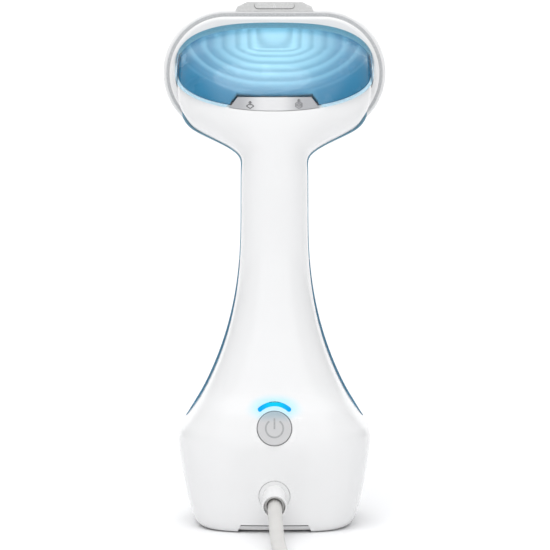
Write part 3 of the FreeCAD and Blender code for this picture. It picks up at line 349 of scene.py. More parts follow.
def u_number(look, side, height):
    """The number of the U that a place lies on, in shader nodes; step_number gives it for the mesh."""
    wide = look.maths("POWER", look.ranged(side, U_HALF, U_HALF + U_SPREAD, 0.0, 1.0), 1 / U_WIDEN)
    low = look.maths("POWER", look.ranged(height, U_BOTTOM, U_BOTTOM - U_DROP, 0.0, 1.0), 1 / U_DEEPEN)
    width = look.maths("ADD", look.ranged(side, 0.0, U_HALF, 0.0, 1 / STEPS),
                       look.maths("MULTIPLY", wide, 1 - 1 / STEPS))
    depth = look.maths("ADD", look.ranged(height, U_TOP, U_BOTTOM, 0.0, 1 / STEPS),
                       look.maths("MULTIPLY", low, 1 - 1 / STEPS))
    powers = look.maths("ADD", look.maths("POWER", width, U_ROUND), look.maths("POWER", depth, U_ROUND))
    return look.maths("POWER", powers, 1 / U_ROUND)


def stepped_blue(name):
    """The stepped cover: painted shade leaves it pale in the middle and deeper blue towards its rim, and
    each step is shaded softly with painted shade, the outer ones with a painted glint.
    """
    pale, deep_shade = (0.35, 0.65, 0.78, 1), (0.012, 0.195, 0.355, 1)
    shadow, shine, tab = (0.012, 0.165, 0.31, 1), (0.36, 0.70, 0.86, 1), (0.16, 0.40, 0.52, 1)
    look = Look(name, pale[:3], 0.25, Coat_Weight=0.3, Coat_Roughness=0.1)
    axes = look.axes()
    side = look.maths("ABSOLUTE", axes["X"])
    height = axes["Z"]
    # Painted shade: pale in the middle, deeper blue outwards.
    across = look.maths("MULTIPLY", side, 1 / GROUND_HALF)
    rise = look.maths("MULTIPLY", look.maths("SUBTRACT", height, GROUND_Z), 1 / GROUND_RISE)
    outward = look.ranged(look.length(across, rise), GROUND_PALE, 1.0, 0.0, 1.0, smooth=True)
    shaded_ground = look.mix(outward, pale, deep_shade)

    number = u_number(look, side, height)
    within = look.maths("FRACT", look.maths("MULTIPLY", number, STEPS))
    stepped = look.maths("MULTIPLY", look.ranged(number, SHADE_START, SHADE_FULL, 0.0, 1.0),
                         look.ranged(number, 1.0, SHADE_END, 1.0, 0.0))
    shade = look.maths("ADD", look.ranged(within, 0.0, INNER_SHADE_END, INNER_SHADE, 0.0, smooth=True),
                       look.ranged(within, OUTER_SHADE_START, 1.0, 0.0, OUTER_SHADE, smooth=True))
    shaded = look.mix(look.maths("MULTIPLY", shade, stepped), shaded_ground, shadow)
    fading = look.maths("MULTIPLY", look.ranged(within, GLINT_PEAK, GLINT_END, 1.0, 0.0, smooth=True),
                        look.ranged(number, GLINT_FIRST_U, GLINT_FULL_U, 0.0, 1.0))
    growing = look.ranged(within, GLINT_START, GLINT_PEAK, 0.0, GLINT, smooth=True)
    glint = look.maths("MULTIPLY", growing, fading)
    shaded = look.mix(look.maths("MULTIPLY", glint, stepped), shaded, shine)

    widening = look.maths("MULTIPLY", look.maths("SUBTRACT", height, TAB_SLANT_Z), TAB_SLANT)
    from_side = look.maths("SUBTRACT", side, widening)
    on_tab = look.maths("MULTIPLY", look.ranged(height, TAB_Z, TAB_TOP_Z, 0.0, 0.5),
                        look.ranged(from_side, TAB_HALF, TAB_EDGE, 1.0, 0.0))
    look.feed("Base Color", look.mix(on_tab, shaded, tab))
    look.patchy(70.0, 0.05)
    return look.grain(1200.0, 0.000003)


def satin(name, colour, roughness=0.42, scale=1400.0, depth=0.000006):
    """Fine-textured satin plastic or silicone."""
    look = Look(name, colour, roughness)
    look.varied(lighter(colour, 0.95), 40.0, worn=lighter(colour, 1.12))
    look.patchy(90.0, 0.06)
    return look.grain(scale, depth)


def brushed(name, colour, roughness):
    """Brushed metal: fine scratches along one axis."""
    look = Look(name, colour, roughness, Metallic=1.0)
    dull, bright = (*lighter(colour, 0.93), 1.0), (*lighter(colour, 1.05), 1.0)
    lines = look.noise(60.0, 5.0, (1.0, 40.0, 40.0))
    look.feed("Roughness", look.ranged(lines, *NOISE_RANGE, roughness - 0.08, roughness + 0.1))
    look.feed("Base Color", look.mix(look.ranged(lines, *NOISE_RANGE, 0.0, 1.0), dull, bright))
    return look.bump(lines, 0.000008)


BUTTON_TINT_Z, BUTTON_TOP_Z, BUTTON_TINT = 0.0625, 0.0690, 0.9      # the tint grows to its full share


def button_grey(name):
    """Satin grey, tinted along the power button's upper edge by the light arc above it."""
    look = satin(name, (0.57, 0.57, 0.575))
    near = look.ranged(look.axes()["Z"], BUTTON_TINT_Z, BUTTON_TOP_Z, 0.0, BUTTON_TINT, smooth=True)
    return look.tint(near, (0.34, 0.45, 0.51, 1))


# The rocker's painted highlight: how far left of the middle it lies, its bright middle and its reach.
HIGHLIGHT_SHIFT, HIGHLIGHT_MIDDLE, HIGHLIGHT_REACH = 0.0015, 0.004, 0.019    # the bright middle and its reach


def panel(name):
    """The rocker's satin silver: very fine brushing, with a painted highlight brightest a little left of
    the middle that fades to darker sides.
    """
    look = Look(name, (0.62, 0.62, 0.64), 0.34, Metallic=0.55)
    bright, dull, line = (0.73, 0.73, 0.735, 1), (0.42, 0.425, 0.44, 1), (0.30, 0.30, 0.31, 1)
    side = look.maths("ABSOLUTE", look.maths("ADD", look.axes()["X"], HIGHLIGHT_SHIFT))
    # Painted highlight: bright in the middle, fading to painted shade at the sides.
    highlight_tone = look.mix(look.ranged(side, HIGHLIGHT_MIDDLE, HIGHLIGHT_REACH, 0.0, 1.0, smooth=True), bright, dull)
    lines = look.noise(220.0, 4.0, (1.0, 30.0, 30.0))
    look.feed("Base Color", look.mix(look.ranged(lines, *NOISE_RANGE, 0.0, 0.12), highlight_tone, line))
    look.feed("Roughness", look.ranged(lines, *NOISE_RANGE, 0.28, 0.40))
    return look.bump(lines, 0.0000015)


def cast(name, colour):
    """Die-cast alloy: coarse dull skin."""
    look = Look(name, colour, 0.5, Metallic=1.0)
    look.varied(lighter(colour, 0.85), 120.0, worn=lighter(colour, 1.25))
    look.patchy(200.0, 0.12)
    return look.grain(900.0, 0.00006, 5.0)


def jacket(name, colour):
    """Soft cable jacket: fine matte skin."""
    look = Look(name, colour, 0.48, Sheen_Weight=0.1)
    look.varied(lighter(colour, 0.96), 60.0)
    look.patchy(150.0, 0.07)
    return look.grain(2200.0, 0.00002)


ARC_MIDDLE, ARC_END = 0.001, 0.0095      # half widths between which the light turns blue


def lit(name):
    """The light arc: cyan in the middle, blue at its ends."""
    look = Look(name, (0.0, 0.05, 0.10), 0.45, Specular_IOR_Level=0.08)
    side = look.maths("ABSOLUTE", look.axes()["X"])
    ends = look.ranged(side, ARC_MIDDLE, ARC_END, 0.0, 1.0, smooth=True)
    look.feed("Emission Color", look.mix(ends, (0.0, 0.62, 0.90, 1), (0.0, 0.36, 0.86, 1)))
    look.set("Emission Strength", 0.95)
    look.patchy(300.0, 0.05)
    return look.grain(1500.0, 0.000004)


def board(name):
    """Solder-masked circuit board with a trace pattern."""
    mask, trace = (0.02, 0.12, 0.06), (0.05, 0.22, 0.10)
    look = Look(name, mask, 0.35)
    bricks = look.add("ShaderNodeTexBrick", Vector=look.place, Scale=260.0).outputs["Color"]
    look.feed("Base Color", look.mix(look.ranged(bricks, *NOISE_RANGE, 0.0, 1.0), (*mask, 1), (*trace, 1)))
    look.bump(bricks, 0.00002)
    return look.grain(1200.0, 0.000005)


def winding(name):
    """Enamelled copper wire wound in close rows."""
    look = Look(name, (0.42, 0.16, 0.06), 0.3, Metallic=0.9)
    rows = look.add("ShaderNodeTexWave", Vector=look.place, Scale=420.0, Distortion=0.3)
    look.bump(rows.outputs["Fac"], 0.0001)
    look.varied((0.55, 0.24, 0.10), 300.0)
    return look.patchy(300.0, 0.1)


def woven(name, colour):
    """Woven hook-and-loop strap."""
    look = Look(name, colour, 0.85, Sheen_Weight=0.5)
    threads = []
    for direction in ("X", "Y"):
        wave = look.add("ShaderNodeTexWave", Vector=look.place, Scale=700.0, bands_direction=direction)
        threads.append(wave.outputs["Fac"])
    look.bump(look.maths("MAXIMUM", *threads), 0.00015)
    look.varied(lighter(colour, 1.5), 500.0)
    return look.grain(3000.0, 0.0001)


def make_looks():
    """A finished material for each of the record's material slots."""
    return {
        "white_gloss": gloss_white("white_gloss"),
        "trigger_white": gloss_white("trigger_white", (0.80, 0.805, 0.81)),
        "blue_gloss": gloss_white("blue_gloss", (0.17, 0.34, 0.45)),
        "cover_blue": stepped_blue("cover_blue"),
        "tank_blue": clear_plastic("tank_blue", (0.16, 0.42, 0.60), 0.05, 0.55),
        "window_blue": window_clear("window_blue"),
        "grey_plastic": satin("grey_plastic", (0.56, 0.57, 0.585)),
        "grey_gasket": satin("grey_gasket", (0.47, 0.48, 0.49), 0.5),
        "inner_plastic": satin("inner_plastic", (0.62, 0.62, 0.61), 0.45),
        "black_plastic": satin("black_plastic", (0.02, 0.02, 0.022), 0.35),
        "foot_rubber": satin("foot_rubber", (0.22, 0.22, 0.225), 0.7, 2500.0, 0.00003),
        "pump_case": satin("pump_case", (0.68, 0.66, 0.58), 0.4),
        "hose_clear": satin("hose_clear", (0.70, 0.71, 0.69), 0.3),
        "wire_jacket": satin("wire_jacket", (0.55, 0.55, 0.50), 0.45),
        "lamp_white": satin("lamp_white", (0.85, 0.84, 0.62), 0.2),
        "silver_panel": panel("silver_panel"),
        "plate_metal": brushed("plate_metal", (0.72, 0.73, 0.75), 0.22),
        "steel": brushed("steel", (0.58, 0.58, 0.60), 0.25),
        "blade_brass": brushed("blade_brass", (0.68, 0.52, 0.26), 0.24),
        "cast_alloy": cast("cast_alloy", (0.50, 0.50, 0.50)),
        "cord_grey": jacket("cord_grey", (0.64, 0.63, 0.61)),
        "light_cyan": lit("light_cyan"),
        "board_green": board("board_green"),
        "pump_winding": winding("pump_winding"),
        "tie_fabric": woven("tie_fabric", (0.06, 0.06, 0.065)),
    }


looks = make_looks()


def paint(names, look):
    for name in names:
        nodes[name].material_slots[0].material = look.material


def paint_nodes():
    """Each node in its slot's material, then the few whose colour differs from their slot's."""
    for part in frame["record"]["subparts"]:
        paint([part["node"]], looks[part["material_slot"]])
    paint(["rear_shell"], glowing_white("shell_white"))
    paint(["power_button"], button_grey("button_grey"))
    paint(["clean_housing", "clean_button"], satin("hood_grey", (0.51, 0.51, 0.505)))
    lead.data.materials.append(looks["cord_grey"].material)


paint_nodes()


# Small pieces laid on the casing -----------------------------------------------------------------

LIFT, SUNK = 0.05 * MM, 0.2 * MM      # how far a mark stands out, and how far it reaches in
LINE_STEP = 0.35                      # the longest step along a mark, in mm
OUTSIDE = 0.2                         # a ray that starts this far out is clear of the steamer


def faces_of(node):
    """The surface of a node, for rays."""
    return BVHTree.FromObject(nodes[node], bpy.context.evaluated_depsgraph_get())


def join_rows(mesh, rows, capped=True):
    """Faces between neighbouring rows of vertices, and over the first and the last row if capped."""
    count = len(rows[0])
    for a, b in zip(rows, rows[1:]):
        for k in range(count):
            mesh.faces.new((a[k], b[k], b[(k + 1) % count], a[(k + 1) % count]))
    if capped:
        mesh.faces.new(rows[0])
        mesh.faces.new(rows[-1][::-1])


def piece(name, mesh, material, body, smooth=False):
    """A new piece from a bmesh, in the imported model's frame, that rides on a body."""
    bmesh.ops.remove_doubles(mesh, verts=mesh.verts, dist=1e-7)
    bmesh.ops.recalc_face_normals(mesh, faces=mesh.faces)
    data = bpy.data.meshes.new(name)
    mesh.to_mesh(data)
    mesh.free()
    if smooth:
        data.shade_smooth()
    obj = bpy.data.objects.new(name, data)
    scene.collection.objects.link(obj)
    data.materials.append(material)
    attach(obj, body)
    return obj


def refined(line):
    """The line with points added so that none of its steps is longer than LINE_STEP."""
    points = [line[0]]
    for (x, z), (next_x, next_z) in zip(line, line[1:]):
        count = max(1, math.ceil(math.dist((x, z), (next_x, next_z)) / LINE_STEP))
        for k in range(1, count + 1):
            points.append((x + (next_x - x) * k / count, z + (next_z - z) * k / count))
    return points


def ribbon(name, lines, width, node, material, body, side=-1):
    """Raised lines on the side of a node that faces -Y or +Y; each is a list of (x, z), in mm."""
    tree = faces_of(node)
    mesh = bmesh.new()
    for line in lines:
        points = refined(line)
        closed = math.dist(points[0], points[-1]) < 1e-6
        rows = []
        for i, (x, z) in enumerate(points):
            before = points[i - 1] if i else points[-2 if closed else 0]
            after = points[i + 1] if i + 1 < len(points) else points[1 if closed else -1]
            run = Vector((after[0] - before[0], after[1] - before[1])).normalized()
            row = []
            for edge in (-width / 2, width / 2):
                start = Vector(((x - run.y * edge) * MM, side * OUTSIDE, (z + run.x * edge) * MM))
                place, normal, _, _ = tree.ray_cast(start, Vector((0, -side, 0)))
                normal = normal if normal.y * side > 0 else -normal
                row += [place + normal * LIFT, place - normal * SUNK]
            rows.append([mesh.verts.new(row[k]) for k in (0, 2, 3, 1)])
        join_rows(mesh, rows, capped=not closed)
    return piece(name, mesh, material, body)


def arc(centre, radius, start, end, count=40):
    """Points of an arc; angles in degrees, clockwise from straight up."""
    angles = [math.radians(start + (end - start) * k / count) for k in range(count + 1)]
    return [(centre[0] + radius * math.sin(a), centre[1] + radius * math.cos(a)) for a in angles]


def diamond(x, z, half):
    """A diamond seen at a slant, half as wide again as it is high."""
    low = half * 0.66
    return [(x, z - low), (x + half, z), (x, z + low), (x - half, z), (x, z - low)]


def arrow(x, z, half):
    """An arrow that points up, as its head and its stem."""
    return [[(x - half, z), (x, z + half), (x + half, z)], [(x, z - 1.6 * half), (x, z + 0.8 * half)]]


def drop(x, z, half_height):
    """The outline of a drop of water: a tip, and an arc from one shoulder round to the other."""
    radius = half_height * 0.62
    shoulder = 62
    tip = (x, z + half_height)
    return [tip] + arc((x, z - half_height + radius), radius, shoulder, 360 - shoulder, 24) + [tip]


# Where the marks lie, as (x, z) in mm.
POWER_X, POWER_Z, POWER_RADIUS, POWER_GAP = 0.0, 60.0, 4.9, 36      # the gap in degrees to each side
POWER_BAR_TOP, POWER_BAR_END = 5.6, -0.4
DROP_X, DROP_Z = 0.0, 291.6
LEVEL_X, LEVEL_Z, DIAMOND_HALF, ARROW_HALF = 13.7, 238.9, 2.1, 0.85
GUARD_X, GUARD_Z, GUARD_RADIUS = 0.0, 21.5, 8.95
FILL_HALF, FILL_LEVELS = 4.5, (84.0, 96.0, 108.0)


def make_marks():
    """The line icons on the buttons, the line round the cord guard and the tank's fill marks."""
    grey = satin("icon_grey", (0.36, 0.365, 0.37), 0.4).material
    dark = satin("icon_dark", (0.10, 0.10, 0.105), 0.4).material
    light = satin("icon_light", (0.62, 0.62, 0.62), 0.4).material

    ring = arc((POWER_X, POWER_Z), POWER_RADIUS, POWER_GAP, 360 - POWER_GAP, 60)
    bar = [(POWER_X, POWER_Z + POWER_BAR_TOP), (POWER_X, POWER_Z + POWER_BAR_END)]
    ribbon("power_icon", [ring, bar], 0.95, "power_button", grey, "power_key")

    outline = drop(DROP_X, DROP_Z, 1.15)
    ribbon("drop_icon", [outline], 0.28, "clean_button", light, "clean_key")

    less = [diamond(-LEVEL_X, LEVEL_Z, DIAMOND_HALF), *arrow(-LEVEL_X, LEVEL_Z + 1.75, ARROW_HALF)]
    ribbon("less_steam_icon", less, 0.5, "level_rocker", dark, "level_key")

    more = [diamond(LEVEL_X, LEVEL_Z, DIAMOND_HALF), diamond(LEVEL_X, LEVEL_Z + 1.2, DIAMOND_HALF),
            *arrow(LEVEL_X, LEVEL_Z + 2.85, ARROW_HALF)]
    ribbon("more_steam_icon", more, 0.38, "level_rocker", dark, "level_key")

    round_guard = arc((GUARD_X, GUARD_Z), GUARD_RADIUS, -100, 100)
    ribbon("guard_line", [round_guard], 0.32, "rear_shell", light, "body")

    levels = [[(-FILL_HALF, z), (FILL_HALF, z)] for z in FILL_LEVELS]
    ribbon("fill_marks", levels, 0.6, "water_tank", light, "tank", side=1)


make_marks()


# Stepped cover, rims and sleeve ------------------------------------------------------------------

MOUTH_Y = 0.0308                                        # the plane of the window's front edge
SEAM_Z, SEAM_SLOPE, SEAM_Y = 0.2360, 0.49, -0.017       # the seam below the window, seen from the side
STEP_DEPTH, STEP_EDGE = 0.00055, 0.22                   # depth of a step, and its rounded share
COVER_GAP, COVER_WALL = 0.0004, 0.0009
COVER_LIFT = 0.0005                                     # its rays start this far above the seam
COVER_TUCK = 0.0012                                     # how much deeper it lies past the window's end
COVER_HALF, COVER_COLUMNS, COVER_TURNS = 0.0556, 250, 96
FLAT_Y, FRONT_Y = 0.002, 0.016                          # the steps fade out between these
ROCKER_HALF, ROCKER_TOP = 0.021, 0.2425                 # the opening for the rocker


def seam_at(y, lift):
    """The height of the seam at y, raised by lift."""
    return SEAM_Z + SEAM_SLOPE * (y - SEAM_Y) + lift


def fraction(value, start, end):
    """How far value has gone from start to end, from 0 to 1."""
    return min(1.0, max(0.0, (value - start) / (end - start)))


def step_number(x, z):
    """The number of the U that a place of the cover lies on; it is below 1 / STEPS inside the innermost."""
    wide = fraction(abs(x), U_HALF, U_HALF + U_SPREAD) ** (1 / U_WIDEN)
    low = fraction(z, U_BOTTOM, U_BOTTOM - U_DROP) ** (1 / U_DEEPEN)
    width = fraction(abs(x), 0.0, U_HALF) / STEPS + wide * (1 - 1 / STEPS)
    depth = fraction(z, U_TOP, U_BOTTOM) / STEPS + low * (1 - 1 / STEPS)
    return (width ** U_ROUND + depth ** U_ROUND) ** (1 / U_ROUND)


def step_depth(x, z):
    """How far the steps reach back there; they have rounded edges."""
    inward = STEPS * (1.0 - step_number(x, z))
    if inward <= 0:
        return 0.0
    whole = math.floor(inward)
    part = min(1.0, (inward - whole) / STEP_EDGE)
    return STEP_DEPTH * (whole + part * part * (3 - 2 * part))


def cover_column(mesh, window, x):
    """Vertices from the top down to the seam, each with whether it lies in the rocker's opening."""
    origin = Vector((x, MOUTH_Y, seam_at(MOUTH_Y, COVER_LIFT)))
    first = math.atan2(-SEAM_SLOPE, 1.0)
    column = []
    reach = None
    for k in range(COVER_TURNS, -1, -1):
        turn = first + (math.pi / 2 - first) * k / COVER_TURNS
        aim = Vector((0, -math.cos(turn), math.sin(turn)))
        place, _, _, distance = window.ray_cast(origin, aim)
        hidden = place is None
        if not hidden:
            reach = distance
        spot = origin + aim * reach
        sunk = COVER_GAP + step_depth(spot.x, spot.z) * (1 - fraction(spot.y, FLAT_Y, FRONT_Y))
        tucked = COVER_TUCK if hidden else 0.0
        vertex = mesh.verts.new(spot - aim * (sunk + tucked))
        column.append((vertex, abs(spot.x) < ROCKER_HALF and spot.z < ROCKER_TOP))
    return column


def make_cover():
    """The stepped cover, laid behind the window's inner face and thickened inwards."""
    window = faces_of("window_cover")
    mesh = bmesh.new()
    columns = []
    for i in range(COVER_COLUMNS + 1):
        x = -COVER_HALF + 2 * COVER_HALF * i / COVER_COLUMNS
        columns.append(cover_column(mesh, window, x))
    for a, b in zip(columns, columns[1:]):
        for k in range(COVER_TURNS):
            corners = (a[k], a[k + 1], b[k + 1], b[k])
            if not any(cut for _, cut in corners):
                mesh.faces.new([vertex for vertex, _ in corners])
    for vertex in [v for v in mesh.verts if not v.link_faces]:
        mesh.verts.remove(vertex)
    cover = piece("stepped_cover", mesh, looks["cover_blue"].material, "body", smooth=True)
    if cover.data.polygons[0].normal.y > 0:
        cover.data.flip_normals()
    wall = cover.modifiers.new("wall", "SOLIDIFY")
    wall.thickness = COVER_WALL
    wall.offset = -1.0
    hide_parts("chamber_cover")


RIM_BACK_Y, RIM_FRONT_Y = 0.03103, 0.03108      # just in front of the window's edge
RIM_IN, RIM_OUT = 0.0014, 0.0002                # inwards from the window's inner and outer faces
RIM_FORWARD, RIM_LIFT = 0.0001, 0.0006          # where its rays start, off the mouth and the seam
RIM_ROWS = 160


def make_mouth_rim():
    """A thin blue rim of painted shade along the window's front edge, where the collar behind it lies in
    shade, over the top from one end of the seam to the other.
    """
    window = faces_of("window_cover")
    middle = Vector((0, MOUTH_Y + RIM_FORWARD, seam_at(MOUTH_Y, RIM_LIFT)))
    mesh = bmesh.new()
    rows = []
    for k in range(RIM_ROWS + 1):
        turn = math.pi * k / RIM_ROWS
        aim = Vector((math.cos(turn), 0, math.sin(turn)))
        inner = window.ray_cast(middle, aim)[0]
        outer = window.ray_cast(middle + aim * OUTSIDE, -aim)[0]
        if inner is None or outer is None:
            continue
        low, high = inner - aim * RIM_IN, outer - aim * RIM_OUT
        corners = ((low, RIM_BACK_Y), (high, RIM_BACK_Y), (high, RIM_FRONT_Y), (low, RIM_FRONT_Y))
        rows.append([mesh.verts.new((place.x, y, place.z)) for place, y in corners])
    join_rows(mesh, rows)
    # Painted shade: a blue sheet where the collar behind the window's edge lies in shade.
    rim = satin("rim_shade_blue", (0.42, 0.64, 0.73), 0.35).material
    piece("mouth_rim", mesh, rim, "body")


SEAL_ROWS = 120
SEAL_FIRST, SEAL_SWEEP = 20, 70                 # degrees from the rear, to each side
SEAL_START_X, SEAL_LEAST_REACH = 0.0277, 0.03   # the seal keeps clear of the rocker
SEAL_OUT, SEAL_IN = 0.00005, 0.0036             # inwards from the window's outer face
SEAL_LOW, SEAL_HIGH = 0.00004, 0.00021          # above the seam
SEAL_LIFT = 0.0004                              # its rays end this far above the seam


def make_seam_rim():
    """Two pale seals that close the seam between the white shell and the window."""
    window = faces_of("window_cover")
    middle = Vector((0, MOUTH_Y, seam_at(MOUTH_Y, SEAL_LIFT)))
    mesh = bmesh.new()
    for side in (-1, 1):
        rows = []
        for k in range(SEAL_ROWS + 1):
            turn = side * math.radians(SEAL_FIRST + SEAL_SWEEP * k / SEAL_ROWS)
            aim = Vector((math.sin(turn), -math.cos(turn), -SEAM_SLOPE * math.cos(turn))).normalized()
            place, _, _, _ = window.ray_cast(middle + aim * OUTSIDE, -aim)
            if place is None or abs(place.x) < SEAL_START_X or (place - middle).length < SEAL_LEAST_REACH:
                continue
            outer, inner = place - aim * SEAL_OUT, place - aim * SEAL_IN
            lows = [Vector((p.x, p.y, seam_at(p.y, SEAL_LOW))) for p in (outer, inner)]
            highs = [Vector((p.x, p.y, seam_at(p.y, SEAL_HIGH))) for p in (outer, inner)]
            rows.append([mesh.verts.new(p) for p in (lows[0], highs[0], highs[1], lows[1])])
        join_rows(mesh, rows)
    seal = satin("seal_pale", (0.66, 0.80, 0.88), 0.35).material
    piece("seam_rim", mesh, seal, "body")


GUARD_BASE, GUARD_PITCH = Vector((0, -44.0, 21.5)), math.radians(8.0)
# The sleeve's outline, as (distance from the guard's base, radius), in mm.
SLEEVE_OUTLINE = [(13.0, 5.75), (17.2, 5.85), (17.6, 5.5), (17.6, 4.7), (17.2, 4.3), (13.0, 4.15)]
AROUND = 48                                     # points round a circle


def make_sleeve():
    """The soft inner sleeve of the cord guard, just inside its mouth."""
    axis = Vector((0, -math.cos(GUARD_PITCH), -math.sin(GUARD_PITCH)))
    up = Vector((0, -math.sin(GUARD_PITCH), math.cos(GUARD_PITCH)))
    mesh = bmesh.new()
    rows = []
    for k in range(AROUND):
        a = 2 * math.pi * k / AROUND
        spoke = Vector((math.cos(a), 0, 0)) + up * math.sin(a)
        places = [GUARD_BASE + axis * at + spoke * radius for at, radius in SLEEVE_OUTLINE]
        rows.append([mesh.verts.new(place * MM) for place in places])
    join_rows(mesh, rows + rows[:1], capped=False)
    piece("guard_sleeve", mesh, looks["inner_plastic"].material, "body", smooth=True)


make_cover()
make_mouth_rim()
make_seam_rim()
make_sleeve()


# Strap and plug of the lead ----------------------------------------------------------------------

# In mm; the strap's corners are given as (x, z).
STRAP_HALF, STRAP_THICK, STRAP_CORNER = 5.0, 1.1, 3.4
STRAP_LOW, STRAP_HIGH = (-65.2, 0.1), (-30.2, 17.5)
STRAP_EDGE, STRAP_BEVEL = 0.3, 0.4
CORNER_STEPS = 8
FLAP_FIRST, FLAP_LAST = 5, 18                   # the places of the strap's path that the flap covers
FLAP_LIFT, FLAP_TIP = 0.05, 4.0                 # its gap to the strap, and the length of its loose tip
FLAP_NARROWING, FLAP_THINNING = 0.92, 0.85      # of the strap's own width and thickness


def swept(mesh, path, outline, closed):
    """A band along a path of (place, normal) whose outline is (sideways in Y, outward), in mm."""
    rows = []
    for place, normal in path:
        places = [place + normal * out + Vector((0, wide, 0)) for wide, out in outline]
        rows.append([mesh.verts.new(at * MM) for at in places])
    if closed:
        rows.append(rows[0])
    join_rows(mesh, rows, capped=not closed)


def strap_path():
    """A rounded rectangle in a plane across Y, as (place, outward normal), from its lower left."""
    left, bottom = (at + STRAP_THICK + STRAP_CORNER for at in STRAP_LOW)
    right, top = (at - STRAP_THICK - STRAP_CORNER for at in STRAP_HIGH)
    path = []
    for x, z, start in ((left, bottom, 180), (left, top, 270), (right, top, 0), (right, bottom, 90)):
        for k in range(CORNER_STEPS + 1):
            a = math.radians(start + 90 * k / CORNER_STEPS)
            normal = Vector((math.sin(a), 0, math.cos(a)))
            path.append((Vector((x, COIL_CENTRE[1], z)) + normal * STRAP_CORNER, normal))
    return path


def make_strap():
    """A strap round the coil, with a flap that folds over it and ends in a loose tip."""
    edge, flat = STRAP_HALF, STRAP_HALF - STRAP_BEVEL
    inner = [(-edge, STRAP_EDGE), (-flat, 0.0), (flat, 0.0), (edge, STRAP_EDGE)]
    outline = inner + [(wide, STRAP_THICK - out) for wide, out in reversed(inner)]
    path = strap_path()
    mesh = bmesh.new()
    swept(mesh, path, outline, closed=True)
    lift = STRAP_THICK + FLAP_LIFT
    flap = [(place + normal * lift, normal) for place, normal in path[FLAP_FIRST:FLAP_LAST + 1]]
    end, normal = flap[-1]
    flap.append((end - Vector((0, 0, FLAP_TIP)), normal))
    swept(mesh, flap, [(wide * FLAP_NARROWING, out * FLAP_THINNING) for wide, out in outline], closed=False)
    strap = piece("strap", mesh, looks["tie_fabric"].material, "body")
    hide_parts("coil_tie")
    return strap


PLUG_PLACE = Vector(TAIL_ROUTE[-1])             # where the cord enters the plug
PLUG_HALF, PLUG_THICK = 12.0, 7.5
RELIEF_RINGS, GRIP_RIBS = 5, 4


def plug_rows():
    """(distance, half width, half thickness, squareness) along the plug, from the cord to its face."""
    rows = [(0.0, 4.4, 4.4, 2.0), (0.3, 5.0, 5.0, 2.0)]
    for k in range(RELIEF_RINGS):
        at = 1.6 + 2.7 * k
        half = 5.3 + 0.35 * k
        neck = half - 0.9
        rows += [(at, half, half, 2.0), (at + 0.5, neck, neck, 2.0), (at + 1.2, neck, neck, 2.0),
                 (at + 1.7, half + 0.15, half + 0.15, 2.0)]
    rows += [(15.6, 7.2, 6.9, 2.2), (17.2, 9.6, 7.2, 2.6), (20.0, 11.4, PLUG_THICK, 3.2),
             (24.0, PLUG_HALF, PLUG_THICK, 3.8)]
    for k in range(GRIP_RIBS):
        at = 26.0 + 3.0 * k
        rows += [(at, PLUG_HALF, PLUG_THICK, 3.8), (at + 0.5, 11.5, 7.1, 3.8), (at + 1.3, 11.5, 7.1, 3.8),
                 (at + 1.8, PLUG_HALF, PLUG_THICK, 3.8)]
    rows += [(43.0, PLUG_HALF, PLUG_THICK, 4.0), (45.2, 11.8, 7.3, 4.0), (46.0, 11.2, 6.7, 4.0)]
    return rows


def make_plug():
    """The plug: a ribbed strain relief that widens into a flat body with grip ribs."""
    mesh = bmesh.new()
    rings = []
    for distance, wide, thick, square in plug_rows():
        ring = []
        for k in range(AROUND):
            a = 2 * math.pi * k / AROUND
            c, s = math.cos(a), math.sin(a)
            y = wide * math.copysign(abs(c) ** (2 / square), c)
            z = thick * math.copysign(abs(s) ** (2 / square), s)
            ring.append(mesh.verts.new((PLUG_PLACE + Vector((-distance, y, z))) * MM))
        rings.append(ring)
    join_rows(mesh, rings)
    body = piece("plug_body", mesh, looks["cord_grey"].material, "body", smooth=True)
    body.data.set_sharp_from_angle(angle=math.radians(50))
    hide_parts("plug")
    return body


# The blades, in mm.
BLADE_HALF, BLADE_LONG = 3.17, 16.5             # half width and length
BLADE_HALF_CORE, BLADE_BEVEL = 0.55, 0.2        # half thickness inside the bevels, and their radius
BLADE_TIP = [(2.2, 0.0), (0.6, 0.7), (0.0, 2.0)]    # its rounding, as (from the end, from the side)
HOLE_RADIUS, HOLE_FROM_TIP = 1.6, 4.6
BLADE_SIDE, BLADE_BASE = 6.35, 45.9             # off the plug's middle, and from where the cord enters


def make_blades():
    """Two flat blades with rounded tips and a hole near each tip."""
    data = bpy.data.curves.new("blades", "CURVE")
    data.dimensions = "2D"
    data.fill_mode = "BOTH"
    half, long = BLADE_HALF, BLADE_LONG
    lower = [(0.0, -half)] + [(long - end, side - half) for end, side in BLADE_TIP]
    outline = lower + [(x, -y) for x, y in reversed(lower)]
    turns = [math.pi * k / 12 for k in range(24)]
    hole = [(long - HOLE_FROM_TIP + HOLE_RADIUS * math.cos(a), HOLE_RADIUS * math.sin(a)) for a in turns]
    for points in (outline, hole):
        spline = data.splines.new("POLY")
        spline.points.add(len(points) - 1)
        for point, (x, y) in zip(spline.points, points):
            point.co = (x * MM, y * MM, 0.0, 1.0)
        spline.use_cyclic_u = True
    data.extrude = BLADE_HALF_CORE * MM
    data.bevel_depth = BLADE_BEVEL * MM
    data.bevel_resolution = 2
    data.materials.append(looks["blade_brass"].material)
    form = bpy.data.objects.new("blade_form", data)
    mesh = bpy.data.meshes.new_from_object(form)
    bpy.data.objects.remove(form)
    blades = []
    for name, y in (("blade_near", -BLADE_SIDE), ("blade_far", BLADE_SIDE)):
        blade = bpy.data.objects.new(name, mesh)
        blade.location = (PLUG_PLACE + Vector((-BLADE_BASE, y, 0))) * MM
        blade.rotation_euler = (math.radians(90), 0, math.radians(180))
        scene.collection.objects.link(blade)
        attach(blade, "body")
        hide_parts("plug_blades")
        blades.append(blade)
    return blades


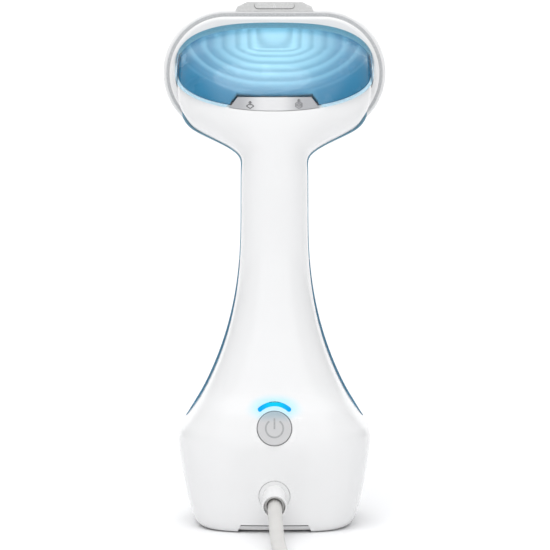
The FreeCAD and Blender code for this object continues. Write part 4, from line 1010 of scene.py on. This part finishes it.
cord_pieces = [nodes["cord_guard"], make_strap(), make_plug(), *make_blades()]


# Light and floor ---------------------------------------------------------------------------------

FLOOR_SIZE = 60.0
FLOOR_GAP = 0.0001
# The world, by the sideways share of a direction: a bright strip fades into darker sides.
STRIP_EDGE, SIDE_EDGE = 0.46, 0.72
STRIP_LIGHT, SIDE_LIGHT = 1.25, 0.46


def make_floor():
    """A pale floor that reaches far beyond the view."""
    mesh = bmesh.new()
    bmesh.ops.create_grid(mesh, x_segments=1, y_segments=1, size=FLOOR_SIZE / 2)
    data = bpy.data.meshes.new("studio_floor")
    mesh.to_mesh(data)
    mesh.free()
    floor = bpy.data.objects.new("studio_floor", data)
    floor.location.z = -FLOOR_GAP
    scene.collection.objects.link(floor)
    look = Look("studio_floor", (0.92, 0.92, 0.925), 0.6, Specular_IOR_Level=0.1)
    data.materials.append(look.material)


def make_world():
    """A bright strip over the middle of the studio and darker sides."""
    world = bpy.data.worlds.new("studio")
    world.use_nodes = True
    tree = world.node_tree
    place = tree.nodes.new("ShaderNodeTexCoord").outputs["Generated"]
    axes = tree.nodes.new("ShaderNodeSeparateXYZ")
    tree.links.new(place, axes.inputs[0])
    across = tree.nodes.new("ShaderNodeMath")
    across.operation = "ABSOLUTE"
    tree.links.new(axes.outputs["X"], across.inputs[0])
    strength = tree.nodes.new("ShaderNodeMapRange")
    strength.interpolation_type = "SMOOTHSTEP"
    tree.links.new(across.outputs[0], strength.inputs["Value"])
    strength.inputs["From Min"].default_value = STRIP_EDGE
    strength.inputs["From Max"].default_value = SIDE_EDGE
    strength.inputs["To Min"].default_value = STRIP_LIGHT
    strength.inputs["To Max"].default_value = SIDE_LIGHT
    background = tree.nodes["Background"]
    background.inputs["Color"].default_value = (0.985, 0.99, 1.0, 1.0)
    tree.links.new(strength.outputs["Result"], background.inputs["Strength"])
    scene.world = world


def make_sun(name, energy, angle, place):
    """A soft sun aimed at the steamer from place."""
    data = bpy.data.lights.new(name, "SUN")
    data.energy = energy
    data.angle = angle
    sun = bpy.data.objects.new(name, data)
    sun.location = place
    aim = VIEW_TARGET - Vector(place)
    sun.rotation_mode = "QUATERNION"
    sun.rotation_quaternion = aim.to_track_quat("-Z", "Y")
    sun.visible_glossy = False
    scene.collection.objects.link(sun)


make_floor()
make_world()
make_sun("key_sun", 0.75, math.radians(40), (-0.35, -0.8, 2.6))
scene.view_settings.view_transform = "Standard"
